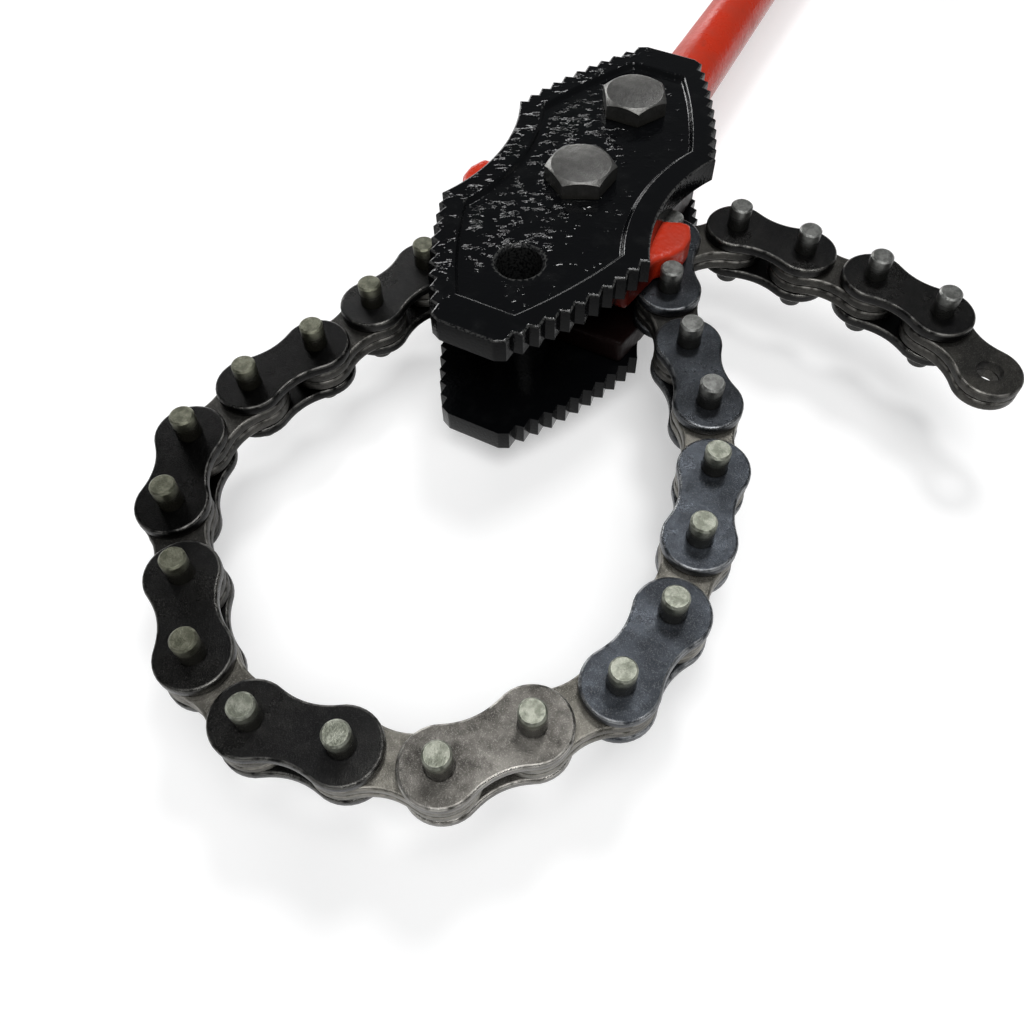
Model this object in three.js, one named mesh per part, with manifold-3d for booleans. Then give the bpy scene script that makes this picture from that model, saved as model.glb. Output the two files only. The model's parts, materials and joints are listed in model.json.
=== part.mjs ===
// Double-ended chain wrench: two toothed jaws bolted to a forged handle, with a leaf chain.
// Units are millimetres. +X runs along the handle, +Y to the left of it and +Z up.
// The origin is the lower end of the centre bolt, on the surface that the tool stands on.

import * as THREE from 'three';
import { mergeVertices } from 'three/addons/utils/BufferGeometryUtils.js';
import Module from 'manifold-3d';

const wasm = await Module();
wasm.setup();

// Leaf chain: pin links and inner links in turn, with pin ends that stand out for the hook
const PITCH = 31.75;
const PLATE_THICKNESS = 4.5;
const PLATE_GAP = 0.35;
const PIN_DIAMETER = 9.5;
const PIN_OVERHANG = 11;
const PIN_CHAMFER = 0.7;
const PIN_HOLE_CLEARANCE = 0.45;
const PIN_PLATE_END_RADIUS = 14;
const PIN_PLATE_WAIST_HALF = 10.5;
const INNER_PLATE_END_RADIUS = 13.6;
const INNER_PLATE_WAIST_HALF = 9.8;

// Where the chain lies: directions of its links in degrees, from the anchor and from the hook
const SHACKLE_HEADING = 132;
const ANCHOR_SIDE_HEADINGS = [148, 165, 165, 158, 170, 206, 225, 225, 252, 281];
const HOOKED_LINK_HEADING = 22;
const HOOK_SIDE_HEADINGS = [37, 36, 25, 12, 5, -9, -37];
const KNEE_TURN = 37;
const FREE_END_HEADINGS = [-50, -93, -94, -106, -126];
const HOOKED_PIN_X = 8.5;
const HOOKED_PIN_Y = -41;

// Anchor shackle on the centre bolt
const SHACKLE_LENGTH = 41.5;
const SHACKLE_EYE_RADIUS = 16;
const SHACKLE_SLOT_CLEARANCE = 1;

// Jaws
const JAW_LENGTH = 204;
const JAW_THICKNESS = 11;
const JAW_NOSE_HALF_WIDTH = 15;
const JAW_SHOULDER_X = 36;
const JAW_SHOULDER_HALF_WIDTH = 48;
const JAW_EDGE_BULGE = 3;
const JAW_WAIST_HALF_WIDTH = 39.4;
const TEETH_PER_EDGE = 10;
const TOOTH_DEPTH = 2.8;
const TOOTH_TIP_SHARE = 0.36;
const TOOTHED_EDGE_SHARE = 0.97;
const PANEL_DEPTH = 2.2;
const PANEL_NOSE_INSET = 15.2;
const PANEL_EDGE_INSET = 10;
const PANEL_WALL_RUN = 2.4;
const JAW_HOLE_CHAMFER = 1.1;
const BOSS_RADIUS = 13;
const BOSS_BORE_CLEARANCE = 0.4;

// Bolts and nuts
const BOLT_SPACING = 57;
const BOLT_DIAMETER = 18;
const BOLT_HOLE_CLEARANCE = 0.5;
const BOLT_HEAD_HEIGHT = 8;
const BOLT_END_LENGTH = 2;
const BOLT_END_CHAMFER = 1.2;
const HEX_ACROSS_FLATS = 27;
const HEX_FACE_DIAMETER = 25.6;
const HEX_CHAMFER_SLOPE = 0.58;
const NUT_HEIGHT = 14.7;
const NUT_THREAD_CLEARANCE = 0.3;
const CENTRE_HEX_TURN = -35;
const REAR_HEX_TURN = 0;

// Handle forging
const HEAD_THICKNESS = 44.8;
const SEAT_GAP = 0.3;
const SLOT_HEIGHT = 20.4;
const SLOT_END_X = 24;
const HEAD_FRONT_X = -43;
const HEAD_FRONT_HALF_WIDTH = 42;
const HORN_HEIGHT = 7.7;
const HORN_THROAT_DEPTH = 12;
const BODY_HALF_WIDTH = 31;
const BODY_REAR_X = 75;
const BODY_REAR_HALF_WIDTH = 30;
const NECK_X = 105;
const NECK_HALF_WIDTH = 16.5;
const FULL_THICKNESS_END_X = 90;
const SHANK_START_X = 112;
const WELD_GAP = 0.3;
const SHANK_START_RADIUS = 15.5;
const SHANK_MIDDLE_X = 250;
const SHANK_MIDDLE_RADIUS = 14;
const HANDLE_END_X = 1016;
const HANDLE_END_RADIUS = 13;
const HANDLE_END_ROUNDING = 4;
const FORGING_ROUNDING_X = 60;
const FORGING_CORNER_RADIUS = 40;
const FORGING_CORNER_X = 72;

const CUT_OVERRUN = 5;
const SAME_POINT_DISTANCE = 0.01;
const KNEE_SEARCH_TURN = 15;
const KNEE_SEARCH_STEPS = 40;
const PLATE_ARC_STEPS = 10;
const PLATE_WAIST_STEPS = 4;
const PLATE_END_SWEEP = 115;
const PIN_SIDES = 12;
const HEX_SIDES = 6;
const ROUND_SIDES = 24;
const WAIST_STEPS = 8;
const EDGE_STEPS = 6;

// Worked out from the sizes above
const pinRadius = PIN_DIAMETER / 2;
const pinHoleRadius = pinRadius + PIN_HOLE_CLEARANCE;
const boltRadius = BOLT_DIAMETER / 2;
const boltHoleRadius = boltRadius + BOLT_HOLE_CLEARANCE;
const plateStep = PLATE_THICKNESS + PLATE_GAP;
const chainThickness = 4 * PLATE_THICKNESS + 3 * PLATE_GAP;
const chainBottom = -chainThickness / 2;
const pinLength = chainThickness + 2 * PIN_OVERHANG;
const jawGap = HEAD_THICKNESS + 2 * SEAT_GAP;
const jawHalfLength = JAW_LENGTH / 2;
const lowerPanelZ = BOLT_END_LENGTH + NUT_HEIGHT + SEAT_GAP;
const lowerJawOuterZ = lowerPanelZ - PANEL_DEPTH;
const middleZ = lowerJawOuterZ + JAW_THICKNESS + jawGap / 2;
const upperJawInnerZ = middleZ + jawGap / 2;
const upperPanelZ = upperJawInnerZ + JAW_THICKNESS - PANEL_DEPTH;
const boltHeadZ = upperPanelZ + SEAT_GAP;

const blackPaint = new THREE.MeshStandardMaterial({ color: 0x0c0c0e, roughness: 0.25, metalness: 0.1 });
const orangePaint = new THREE.MeshStandardMaterial({ color: 0xd83a1e, roughness: 0.35, metalness: 0.1 });
const blackSteel = new THREE.MeshStandardMaterial({ color: 0x26272b, roughness: 0.4, metalness: 0.8 });
const blastedSteel = new THREE.MeshStandardMaterial({ color: 0x45423c, roughness: 0.6, metalness: 0.7 });
const boltSteel = new THREE.MeshStandardMaterial({ color: 0x6c6a65, roughness: 0.45, metalness: 0.9 });

const radians = THREE.MathUtils.degToRad;
const lerp = THREE.MathUtils.lerp;

// Plane geometry

function towards(degrees, length) {
  const angle = radians(degrees);
  return new THREE.Vector2(length * Math.cos(angle), length * Math.sin(angle));
}

function headingOf(from, to) {
  return Math.atan2(to.y - from.y, to.x - from.x);
}

function onCircle(centre, radius, angle) {
  return new THREE.Vector2(centre.x + radius * Math.cos(angle), centre.y + radius * Math.sin(angle));
}

function arc(centre, radius, fromAngle, toAngle, steps) {
  const points = [];
  for (let i = 0; i <= steps; i += 1) {
    points.push(onCircle(centre, radius, lerp(fromAngle, toAngle, i / steps)));
  }
  return points;
}

function circle(x, y, radius, sides) {
  return arc(new THREE.Vector2(x, y), radius, 0, 2 * Math.PI, sides).slice(0, sides);
}

function mirrored(points, signX, signY) {
  return points.map((point) => new THREE.Vector2(signX * point.x, signY * point.y));
}

// An outline that is alike in all four quarters, from its first quarter, listed from +X round to +Y
function fourfold(quarter) {
  return [
    ...quarter,
    ...mirrored(quarter, -1, 1).reverse(),
    ...mirrored(quarter, -1, -1),
    ...mirrored(quarter, 1, -1).reverse(),
  ];
}

function withoutRepeats(points) {
  const next = (i) => points[(i + 1) % points.length];
  return points.filter((point, i) => point.distanceTo(next(i)) > SAME_POINT_DISTANCE);
}

// Solids

function extrudeUp(outline, bottom, height, holes = []) {
  const shape = new THREE.Shape(outline);
  shape.holes = holes.map((hole) => new THREE.Path(hole));
  const geometry = new THREE.ExtrudeGeometry(shape, { depth: height, bevelEnabled: false });
  return geometry.translate(0, 0, bottom);
}

// A body turned about +Z, from a profile of radius and height that starts and ends on the axis
function turned(profile, sides) {
  const points = profile.map(([radius, height]) => new THREE.Vector2(radius, height));
  return new THREE.LatheGeometry(points, sides).rotateX(Math.PI / 2);
}

function toSolid(geometry) {
  const bare = geometry.clone();
  bare.deleteAttribute('normal');
  bare.deleteAttribute('uv');
  const merged = mergeVertices(bare);
  const mesh = new wasm.Mesh({
    numProp: 3,
    vertProperties: new Float32Array(merged.attributes.position.array),
    triVerts: new Uint32Array(merged.index.array),
  });
  return new wasm.Manifold(mesh);
}

function toGeometry(solid) {
  const mesh = solid.getMesh();
  const geometry = new THREE.BufferGeometry();
  geometry.setAttribute('position', new THREE.BufferAttribute(mesh.vertProperties, 3));
  geometry.setIndex(new THREE.BufferAttribute(mesh.triVerts, 1));
  geometry.computeVertexNormals();
  return geometry;
}

function join(...geometries) {
  return toGeometry(geometries.map(toSolid).reduce((whole, piece) => whole.add(piece)));
}

function cut(body, ...cutters) {
  return toGeometry(cutters.map(toSolid).reduce((whole, cutter) => whole.subtract(cutter), toSolid(body)));
}

function common(...geometries) {
  return toGeometry(geometries.map(toSolid).reduce((whole, piece) => whole.intersect(piece)));
}

// Chain plates and pins

function plateOutline(endRadius, waistHalf) {
  const sweep = radians(PLATE_END_SWEEP);
  const farEnd = arc(new THREE.Vector2(PITCH, 0), endRadius, -sweep, sweep, PLATE_ARC_STEPS);
  const nearEnd = arc(new THREE.Vector2(), endRadius, Math.PI - sweep, Math.PI + sweep, PLATE_ARC_STEPS);
  const shoulderY = farEnd.at(-1).y;
  const control = new THREE.Vector2(PITCH / 2, 2 * waistHalf - shoulderY);
  const upper = new THREE.QuadraticBezierCurve(farEnd.at(-1), control, nearEnd[0]);
  const lowerControl = control.clone().setY(-control.y);
  const lower = new THREE.QuadraticBezierCurve(nearEnd.at(-1), lowerControl, farEnd[0]);
  const waist = (curve) => curve.getPoints(PLATE_WAIST_STEPS).slice(1, -1);
  return [...farEnd, ...waist(upper), ...nearEnd, ...waist(lower)];
}

function drilledPlate(endRadius, waistHalf) {
  const holes = [circle(0, 0, pinHoleRadius, PIN_SIDES), circle(PITCH, 0, pinHoleRadius, PIN_SIDES)];
  return extrudeUp(plateOutline(endRadius, waistHalf), 0, PLATE_THICKNESS, holes);
}

function pin(bottom, length) {
  const top = bottom + length;
  const faceRadius = pinRadius - PIN_CHAMFER;
  const profile = [
    [0, bottom],
    [faceRadius, bottom],
    [pinRadius, bottom + PIN_CHAMFER],
    [pinRadius, top - PIN_CHAMFER],
    [faceRadius, top],
    [0, top],
  ];
  return turned(profile, PIN_SIDES);
}

// The lower pin plate with both its pins riveted in, as one solid. Its z=0 is the plate's underside.
function pinnedPlate() {
  const plate = extrudeUp(plateOutline(PIN_PLATE_END_RADIUS, PIN_PLATE_WAIST_HALF), 0, PLATE_THICKNESS);
  const nearPin = pin(-PIN_OVERHANG, pinLength);
  const farPin = pin(-PIN_OVERHANG, pinLength).translate(PITCH, 0, 0);
  return join(plate, nearPin, farPin);
}

// Places of the chain's pins: the two branches turn about their fixed ends until the knee closes

function walk(start, headings, step) {
  const places = [start];
  for (const heading of headings) {
    places.push(places.at(-1).clone().add(towards(heading, step)));
  }
  return places;
}

function layPins() {
  const anchorPin = towards(SHACKLE_HEADING, SHACKLE_LENGTH);
  const hookedPin = new THREE.Vector2(HOOKED_PIN_X, HOOKED_PIN_Y);
  const nextPin = hookedPin.clone().sub(towards(HOOKED_LINK_HEADING, PITCH));
  const kneeSpan = 2 * PITCH * Math.cos(radians(KNEE_TURN / 2));
  const branches = (turn) => [
    walk(anchorPin, ANCHOR_SIDE_HEADINGS.map((heading) => heading + turn), PITCH),
    walk(nextPin, HOOK_SIDE_HEADINGS.map((heading) => heading - turn), -PITCH),
  ];
  const openness = (turn) => {
    const [anchorSide, hookSide] = branches(turn);
    return anchorSide.at(-1).distanceTo(hookSide.at(-1)) - kneeSpan;
  };
  let low = -KNEE_SEARCH_TURN;
  let high = KNEE_SEARCH_TURN;
  for (let i = 0; i < KNEE_SEARCH_STEPS; i += 1) {
    const middle = (low + high) / 2;
    if (openness(middle) > 0) {
      low = middle;
    } else {
      high = middle;
    }
  }
  const [anchorSide, hookSide] = branches(low);
  const span = new THREE.Vector2().subVectors(hookSide.at(-1), anchorSide.at(-1));
  const rise = PITCH * Math.sin(radians(KNEE_TURN / 2));
  const outwards = new THREE.Vector2(span.y, -span.x).setLength(rise);
  const kneePin = anchorSide.at(-1).clone().addScaledVector(span, 1 / 2).add(outwards);
  const freeEnd = walk(hookedPin, FREE_END_HEADINGS, PITCH).slice(1);
  return [...anchorSide, kneePin, ...hookSide.reverse(), hookedPin, ...freeEnd];
}

// Jaw: outline with teeth, recessed panel, spacer bosses on the inner face, three holes

const noseCorner = new THREE.Vector2(jawHalfLength, JAW_NOSE_HALF_WIDTH);
const shoulder = new THREE.Vector2(JAW_SHOULDER_X, JAW_SHOULDER_HALF_WIDTH);
const edgeChord = noseCorner.distanceTo(shoulder);
const edgeRadius = (edgeChord ** 2 / 4 + JAW_EDGE_BULGE ** 2) / (2 * JAW_EDGE_BULGE);
const edgeOutwards = new THREE.Vector2(shoulder.y - noseCorner.y, noseCorner.x - shoulder.x).setLength(1);
const edgeCentre = noseCorner.clone().add(shoulder).multiplyScalar(1 / 2)
  .addScaledVector(edgeOutwards, JAW_EDGE_BULGE - edgeRadius);
const waistDip = JAW_SHOULDER_HALF_WIDTH - JAW_WAIST_HALF_WIDTH;
const waistRadius = (JAW_SHOULDER_X ** 2 + waistDip ** 2) / (2 * waistDip);
const waistCentre = new THREE.Vector2(0, JAW_WAIST_HALF_WIDTH + waistRadius);

function onEdge(share, depth) {
  const from = headingOf(edgeCentre, noseCorner);
  const to = headingOf(edgeCentre, shoulder);
  return onCircle(edgeCentre, edgeRadius - depth, lerp(from, to, share));
}

function jawOutline() {
  const quarter = [new THREE.Vector2(jawHalfLength, JAW_NOSE_HALF_WIDTH - TOOTH_DEPTH)];
  const toothShare = TOOTHED_EDGE_SHARE / TEETH_PER_EDGE;
  for (let tooth = 0; tooth < TEETH_PER_EDGE; tooth += 1) {
    quarter.push(onEdge((tooth + TOOTH_TIP_SHARE) * toothShare, 0));
    quarter.push(onEdge((tooth + 1) * toothShare, TOOTH_DEPTH));
  }
  const from = headingOf(waistCentre, shoulder);
  quarter.push(...arc(waistCentre, waistRadius, from, -Math.PI / 2, WAIST_STEPS / 2));
  return withoutRepeats(fourfold(quarter));
}

// Where the inset edge and the inset waist meet
function panelShoulder(inset) {
  const r1 = edgeRadius - inset;
  const r2 = waistRadius + inset;
  const span = new THREE.Vector2().subVectors(waistCentre, edgeCentre);
  const distance = span.length();
  const along = (distance ** 2 + r1 ** 2 - r2 ** 2) / (2 * distance);
  const aside = Math.sqrt(r1 ** 2 - along ** 2);
  const unit = span.clone().setLength(1);
  const side = new THREE.Vector2(unit.y, -unit.x);
  return edgeCentre.clone().addScaledVector(unit, along).addScaledVector(side, aside);
}

function panelOutline(extraInset) {
  const inset = PANEL_EDGE_INSET + extraInset;
  const noseX = jawHalfLength - PANEL_NOSE_INSET - extraInset;
  const radius = edgeRadius - inset;
  const noseY = edgeCentre.y + Math.sqrt(radius ** 2 - (noseX - edgeCentre.x) ** 2);
  const corner = panelShoulder(inset);
  const noseAngle = headingOf(edgeCentre, new THREE.Vector2(noseX, noseY));
  const edge = arc(edgeCentre, radius, noseAngle, headingOf(edgeCentre, corner), EDGE_STEPS);
  const from = headingOf(waistCentre, corner);
  const waist = arc(waistCentre, waistRadius + inset, from, -Math.PI / 2, WAIST_STEPS / 2);
  return withoutRepeats(fourfold([...edge, ...waist]));
}

// Jaw with its inner face on z=0 and its outer face up
function jawGeometry() {
  const bossLength = jawGap / 2 - SEAT_GAP / 2;
  const panelZ = JAW_THICKNESS - PANEL_DEPTH;
  const plate = extrudeUp(jawOutline(), 0, JAW_THICKNESS);
  const bosses = [-BOLT_SPACING, BOLT_SPACING].map((x) => (
    extrudeUp(circle(x, 0, BOSS_RADIUS, ROUND_SIDES), -bossLength, bossLength + panelZ / 2)
  ));
  const panel = new THREE.ExtrudeGeometry(new THREE.Shape(panelOutline(PANEL_WALL_RUN)), {
    depth: CUT_OVERRUN,
    bevelSegments: 1,
    bevelSize: PANEL_WALL_RUN,
    bevelThickness: PANEL_DEPTH,
  }).translate(0, 0, JAW_THICKNESS);
  const holes = [-BOLT_SPACING, 0, BOLT_SPACING].map((x) => {
    const profile = [
      [0, -bossLength - CUT_OVERRUN],
      [boltHoleRadius, -bossLength - CUT_OVERRUN],
      [boltHoleRadius, panelZ - JAW_HOLE_CHAMFER],
      [boltHoleRadius + JAW_HOLE_CHAMFER, panelZ],
      [boltHoleRadius + JAW_HOLE_CHAMFER, panelZ + CUT_OVERRUN],
      [0, panelZ + CUT_OVERRUN],
    ];
    return turned(profile, ROUND_SIDES).translate(x, 0, 0);
  });
  return cut(join(plate, ...bosses), panel, ...holes);
}

// Bolts and nuts

function hexPrism(bottom, height) {
  const cornerRadius = HEX_ACROSS_FLATS / 2 / Math.cos(Math.PI / HEX_SIDES);
  const prism = extrudeUp(circle(0, 0, cornerRadius, HEX_SIDES), bottom, height);
  return prism.rotateZ(Math.PI / HEX_SIDES);
}

// A hexagon whose upper corners are chamfered round
function chamferedHex(bottom, height) {
  const faceRadius = HEX_FACE_DIAMETER / 2;
  const coneRadius = HEX_ACROSS_FLATS;
  const coneZ = bottom + height - (coneRadius - faceRadius) * HEX_CHAMFER_SLOPE;
  const profile = [
    [0, coneZ - HEX_ACROSS_FLATS],
    [coneRadius, coneZ - HEX_ACROSS_FLATS],
    [coneRadius, coneZ],
    [faceRadius, bottom + height],
    [0, bottom + height],
  ];
  return common(hexPrism(bottom, height), turned(profile, ROUND_SIDES));
}

function boltGeometry() {
  const endRadius = boltRadius - BOLT_END_CHAMFER;
  const shankTop = boltHeadZ + BOLT_HEAD_HEIGHT / 2;
  const shank = turned([
    [0, 0],
    [endRadius, 0],
    [boltRadius, BOLT_END_CHAMFER],
    [boltRadius, shankTop],
    [0, shankTop],
  ], ROUND_SIDES);
  return join(shank, chamferedHex(boltHeadZ, BOLT_HEAD_HEIGHT));
}

// The nut hangs under the lower jaw with its chamfered face down
function nutGeometry() {
  const bore = extrudeUp(
    circle(0, 0, boltRadius + NUT_THREAD_CLEARANCE, ROUND_SIDES),
    -CUT_OVERRUN,
    NUT_HEIGHT + 2 * CUT_OVERRUN,
  );
  return cut(chamferedHex(0, NUT_HEIGHT), bore).rotateX(Math.PI);
}

// Handle: forged head with a slot, two horns and a solid neck, and a round shank

// Points of a horn, as shares of the clear space between the two pins beside it and of its height
const HORN_SHARES = [
  [1.1, -0.84],
  [0.96, -0.03],
  [0.75, 0.62],
  [0.43, 1],
  [0.08, 0.95],
  [0, 0.56],
];

function headOutline() {
  const hookedPin = new THREE.Vector2(HOOKED_PIN_X, HOOKED_PIN_Y);
  const rear = pinRadius + SEAT_GAP;
  const clearSpace = PITCH - pinRadius - rear;
  const hornPoint = (along, out) => (
    hookedPin.clone()
      .add(towards(HOOKED_LINK_HEADING, -along))
      .add(towards(HOOKED_LINK_HEADING - 90, out))
  );
  const horn = HORN_SHARES.map(([spaceShare, heightShare]) => (
    hornPoint(rear + spaceShare * clearSpace, heightShare * HORN_HEIGHT)
  ));
  const rightSide = [
    new THREE.Vector2(HEAD_FRONT_X, -HEAD_FRONT_HALF_WIDTH),
    ...horn,
    hornPoint(rear, -HORN_THROAT_DEPTH),
    new THREE.Vector2(SLOT_END_X, -BODY_HALF_WIDTH),
    new THREE.Vector2(BODY_REAR_X, -BODY_REAR_HALF_WIDTH),
    new THREE.Vector2(NECK_X, -NECK_HALF_WIDTH),
    new THREE.Vector2(SHANK_START_X, -SHANK_START_RADIUS),
  ];
  return [...rightSide, ...mirrored(rightSide, 1, -1).reverse()];
}

// The head and the shank are laid out about the handle's own axis, at z=0
function headGeometry() {
  const halfHead = HEAD_THICKNESS / 2;
  const plan = extrudeUp(headOutline(), -halfHead, HEAD_THICKNESS);
  const frontX = HEAD_FRONT_X - CUT_OVERRUN;
  const upperSide = [
    new THREE.Vector2(SHANK_START_X + CUT_OVERRUN, SHANK_START_RADIUS),
    new THREE.Vector2(SHANK_START_X, SHANK_START_RADIUS),
    new THREE.Vector2(FULL_THICKNESS_END_X, halfHead),
    new THREE.Vector2(frontX, halfHead),
  ];
  const sideOutline = [...upperSide, ...mirrored(upperSide, 1, -1).reverse()];
  const wideRadius = HEAD_THICKNESS + PITCH - HOOKED_PIN_Y;
  const side = extrudeUp(sideOutline, -wideRadius, 2 * wideRadius).rotateX(Math.PI / 2);
  const rounding = turned([
    [0, frontX],
    [wideRadius, frontX],
    [wideRadius, FORGING_ROUNDING_X],
    [FORGING_CORNER_RADIUS, FORGING_CORNER_X],
    [SHANK_START_RADIUS, SHANK_START_X],
    [0, SHANK_START_X],
  ], ROUND_SIDES).rotateY(Math.PI / 2);
  const slot = new THREE.BoxGeometry(SLOT_END_X - frontX, 2 * wideRadius, SLOT_HEIGHT)
    .translate((SLOT_END_X + frontX) / 2, 0, 0);
  const boreHeight = HEAD_THICKNESS + 2 * CUT_OVERRUN;
  const boltBore = extrudeUp(circle(0, 0, boltHoleRadius, ROUND_SIDES), -boreHeight / 2, boreHeight);
  const bossBoreRadius = BOSS_RADIUS + BOSS_BORE_CLEARANCE;
  const bossBore = extrudeUp(
    circle(BOLT_SPACING, 0, bossBoreRadius, ROUND_SIDES),
    -boreHeight / 2,
    boreHeight,
  );
  return cut(common(plan, side, rounding), slot, boltBore, bossBore);
}

// The round bar that is welded to the head's neck
function shankGeometry() {
  return turned([
    [0, SHANK_START_X + WELD_GAP],
    [SHANK_START_RADIUS, SHANK_START_X + WELD_GAP],
    [SHANK_MIDDLE_RADIUS, SHANK_MIDDLE_X],
    [HANDLE_END_RADIUS, HANDLE_END_X - HANDLE_END_ROUNDING],
    [HANDLE_END_RADIUS - HANDLE_END_ROUNDING / 3, HANDLE_END_X - HANDLE_END_ROUNDING / 3],
    [HANDLE_END_RADIUS - HANDLE_END_ROUNDING, HANDLE_END_X],
    [0, HANDLE_END_X],
  ], ROUND_SIDES).rotateY(Math.PI / 2);
}

// Anchor shackle along +X: an eye for the centre bolt and two ears for the first chain pin
function shackleGeometry() {
  const eye = extrudeUp(circle(0, 0, SHACKLE_EYE_RADIUS, ROUND_SIDES), chainBottom, chainThickness);
  const ears = extrudeUp(
    circle(SHACKLE_LENGTH, 0, PIN_PLATE_END_RADIUS, ROUND_SIDES),
    chainBottom,
    chainThickness,
  );
  const waistHalf = PIN_PLATE_WAIST_HALF;
  const web = new THREE.BoxGeometry(SHACKLE_LENGTH, 2 * waistHalf, chainThickness)
    .translate(SHACKLE_LENGTH / 2, 0, 0);
  const slotHeight = 2 * PLATE_THICKNESS + 3 * PLATE_GAP;
  const slotRadius = INNER_PLATE_END_RADIUS + SHACKLE_SLOT_CLEARANCE;
  const slotRound = extrudeUp(
    circle(SHACKLE_LENGTH, 0, slotRadius, ROUND_SIDES),
    -slotHeight / 2,
    slotHeight,
  );
  const cutLength = chainThickness + 2 * CUT_OVERRUN;
  const boltBore = extrudeUp(circle(0, 0, boltHoleRadius, ROUND_SIDES), -cutLength / 2, cutLength);
  const pinBore = extrudeUp(circle(SHACKLE_LENGTH, 0, pinHoleRadius, PIN_SIDES), -cutLength / 2, cutLength);
  return cut(join(eye, ears, web), slotRound, boltBore, pinBore);
}

// The assembly

const wrench = new THREE.Group();

function addMesh(parent, name, geometry, material, z) {
  const mesh = new THREE.Mesh(geometry, material);
  mesh.name = name;
  mesh.position.z = z;
  parent.add(mesh);
  return mesh;
}

function addLinkGroup(start, heading) {
  const link = new THREE.Group();
  link.position.set(start.x, start.y, middleZ);
  link.rotation.z = heading;
  wrench.add(link);
  return link;
}

addMesh(wrench, 'handle_head', headGeometry(), orangePaint, middleZ);
addMesh(wrench, 'handle_shank', shankGeometry(), orangePaint, middleZ);

const jaw = jawGeometry();
addMesh(wrench, 'upper_jaw', jaw, blackPaint, upperJawInnerZ);
const lowerJaw = addMesh(wrench, 'lower_jaw', jaw, blackPaint, middleZ - jawGap / 2);
lowerJaw.rotation.x = Math.PI;

const bolt = boltGeometry();
const nut = nutGeometry();
const boltPlaces = [
  ['centre', 0, CENTRE_HEX_TURN],
  ['rear', BOLT_SPACING, REAR_HEX_TURN],
];
for (const [name, x, turn] of boltPlaces) {
  const boltGroup = new THREE.Group();
  boltGroup.position.x = x;
  boltGroup.rotation.z = radians(turn);
  wrench.add(boltGroup);
  addMesh(boltGroup, `${name}_bolt`, bolt, boltSteel, 0);
  addMesh(boltGroup, `${name}_nut`, nut, boltSteel, lowerPanelZ - SEAT_GAP);
}

const shackle = addLinkGroup(new THREE.Vector2(), radians(SHACKLE_HEADING));
addMesh(shackle, 'anchor_shackle', shackleGeometry(), blackSteel, 0);
const anchorPin = addMesh(shackle, 'anchor_pin', pin(chainBottom, chainThickness), boltSteel, 0);
anchorPin.position.x = SHACKLE_LENGTH;

const innerPlate = drilledPlate(INNER_PLATE_END_RADIUS, INNER_PLATE_WAIST_HALF);
const capPlate = drilledPlate(PIN_PLATE_END_RADIUS, PIN_PLATE_WAIST_HALF);
const pinPlate = pinnedPlate();
const pins = layPins();
for (let number = 1; number < pins.length; number += 1) {
  const start = pins[number - 1];
  const link = addLinkGroup(start, headingOf(start, pins[number]));
  const name = `link_${String(number).padStart(2, '0')}`;
  if (number % 2 === 0) {
    addMesh(link, `${name}_pin_plate`, pinPlate, blackSteel, chainBottom);
    addMesh(link, `${name}_cap_plate`, capPlate, blackSteel, chainBottom + 3 * plateStep);
  } else {
    addMesh(link, `${name}_lower_plate`, innerPlate, blastedSteel, chainBottom + plateStep);
    addMesh(link, `${name}_upper_plate`, innerPlate, blastedSteel, chainBottom + 2 * plateStep);
  }
}

export default wrench;
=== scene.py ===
# %% [markdown]
# # A chain wrench in Blender
# The tool is a heavy double-ended chain wrench. Two toothed jaws are bolted to the forged end of
# an orange handle, and a leaf chain with standing pins hooks behind a horn of that forging.
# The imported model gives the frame: every piece, in metres, where it belongs. This lesson builds
# the looks around it, one kind of piece at a time: jaws, bolts, handle, shackle and chain.

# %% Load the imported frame
import json
import math

import bmesh
import bpy
from mathutils import Matrix, Vector, kdtree, noise

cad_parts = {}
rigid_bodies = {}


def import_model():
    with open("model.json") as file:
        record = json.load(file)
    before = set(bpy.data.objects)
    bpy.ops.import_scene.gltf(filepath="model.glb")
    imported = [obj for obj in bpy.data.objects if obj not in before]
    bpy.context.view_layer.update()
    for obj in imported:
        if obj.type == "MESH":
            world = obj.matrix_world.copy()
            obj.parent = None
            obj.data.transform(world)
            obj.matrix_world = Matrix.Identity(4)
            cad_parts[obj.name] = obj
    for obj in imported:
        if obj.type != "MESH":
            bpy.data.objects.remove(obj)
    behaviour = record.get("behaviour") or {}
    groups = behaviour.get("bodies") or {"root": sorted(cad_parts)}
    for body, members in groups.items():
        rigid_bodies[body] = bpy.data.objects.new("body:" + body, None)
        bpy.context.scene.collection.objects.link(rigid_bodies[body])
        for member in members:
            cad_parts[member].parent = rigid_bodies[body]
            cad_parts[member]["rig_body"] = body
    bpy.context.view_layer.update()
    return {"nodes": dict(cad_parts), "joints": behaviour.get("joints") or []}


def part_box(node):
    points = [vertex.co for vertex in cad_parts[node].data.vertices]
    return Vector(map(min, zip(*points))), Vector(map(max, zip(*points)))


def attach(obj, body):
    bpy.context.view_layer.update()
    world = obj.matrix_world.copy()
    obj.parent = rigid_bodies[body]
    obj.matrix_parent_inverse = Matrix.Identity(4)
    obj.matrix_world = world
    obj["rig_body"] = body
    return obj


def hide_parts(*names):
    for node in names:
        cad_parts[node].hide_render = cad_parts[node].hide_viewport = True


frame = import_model()

MM = 0.001
Z_AXIS = Vector((0, 0, 1))
ORIGIN = Vector((0, 0, 0))

# %% [markdown]
# ## Camera
# The pictures of the tool are taken from just above its nose, with a short lens, so that the near
# loop of chain looms and the handle runs away. The place and the turn of the camera were worked
# out from the pin tops, the corners of the jaws and the bolt heads, so they are written as found.

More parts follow.
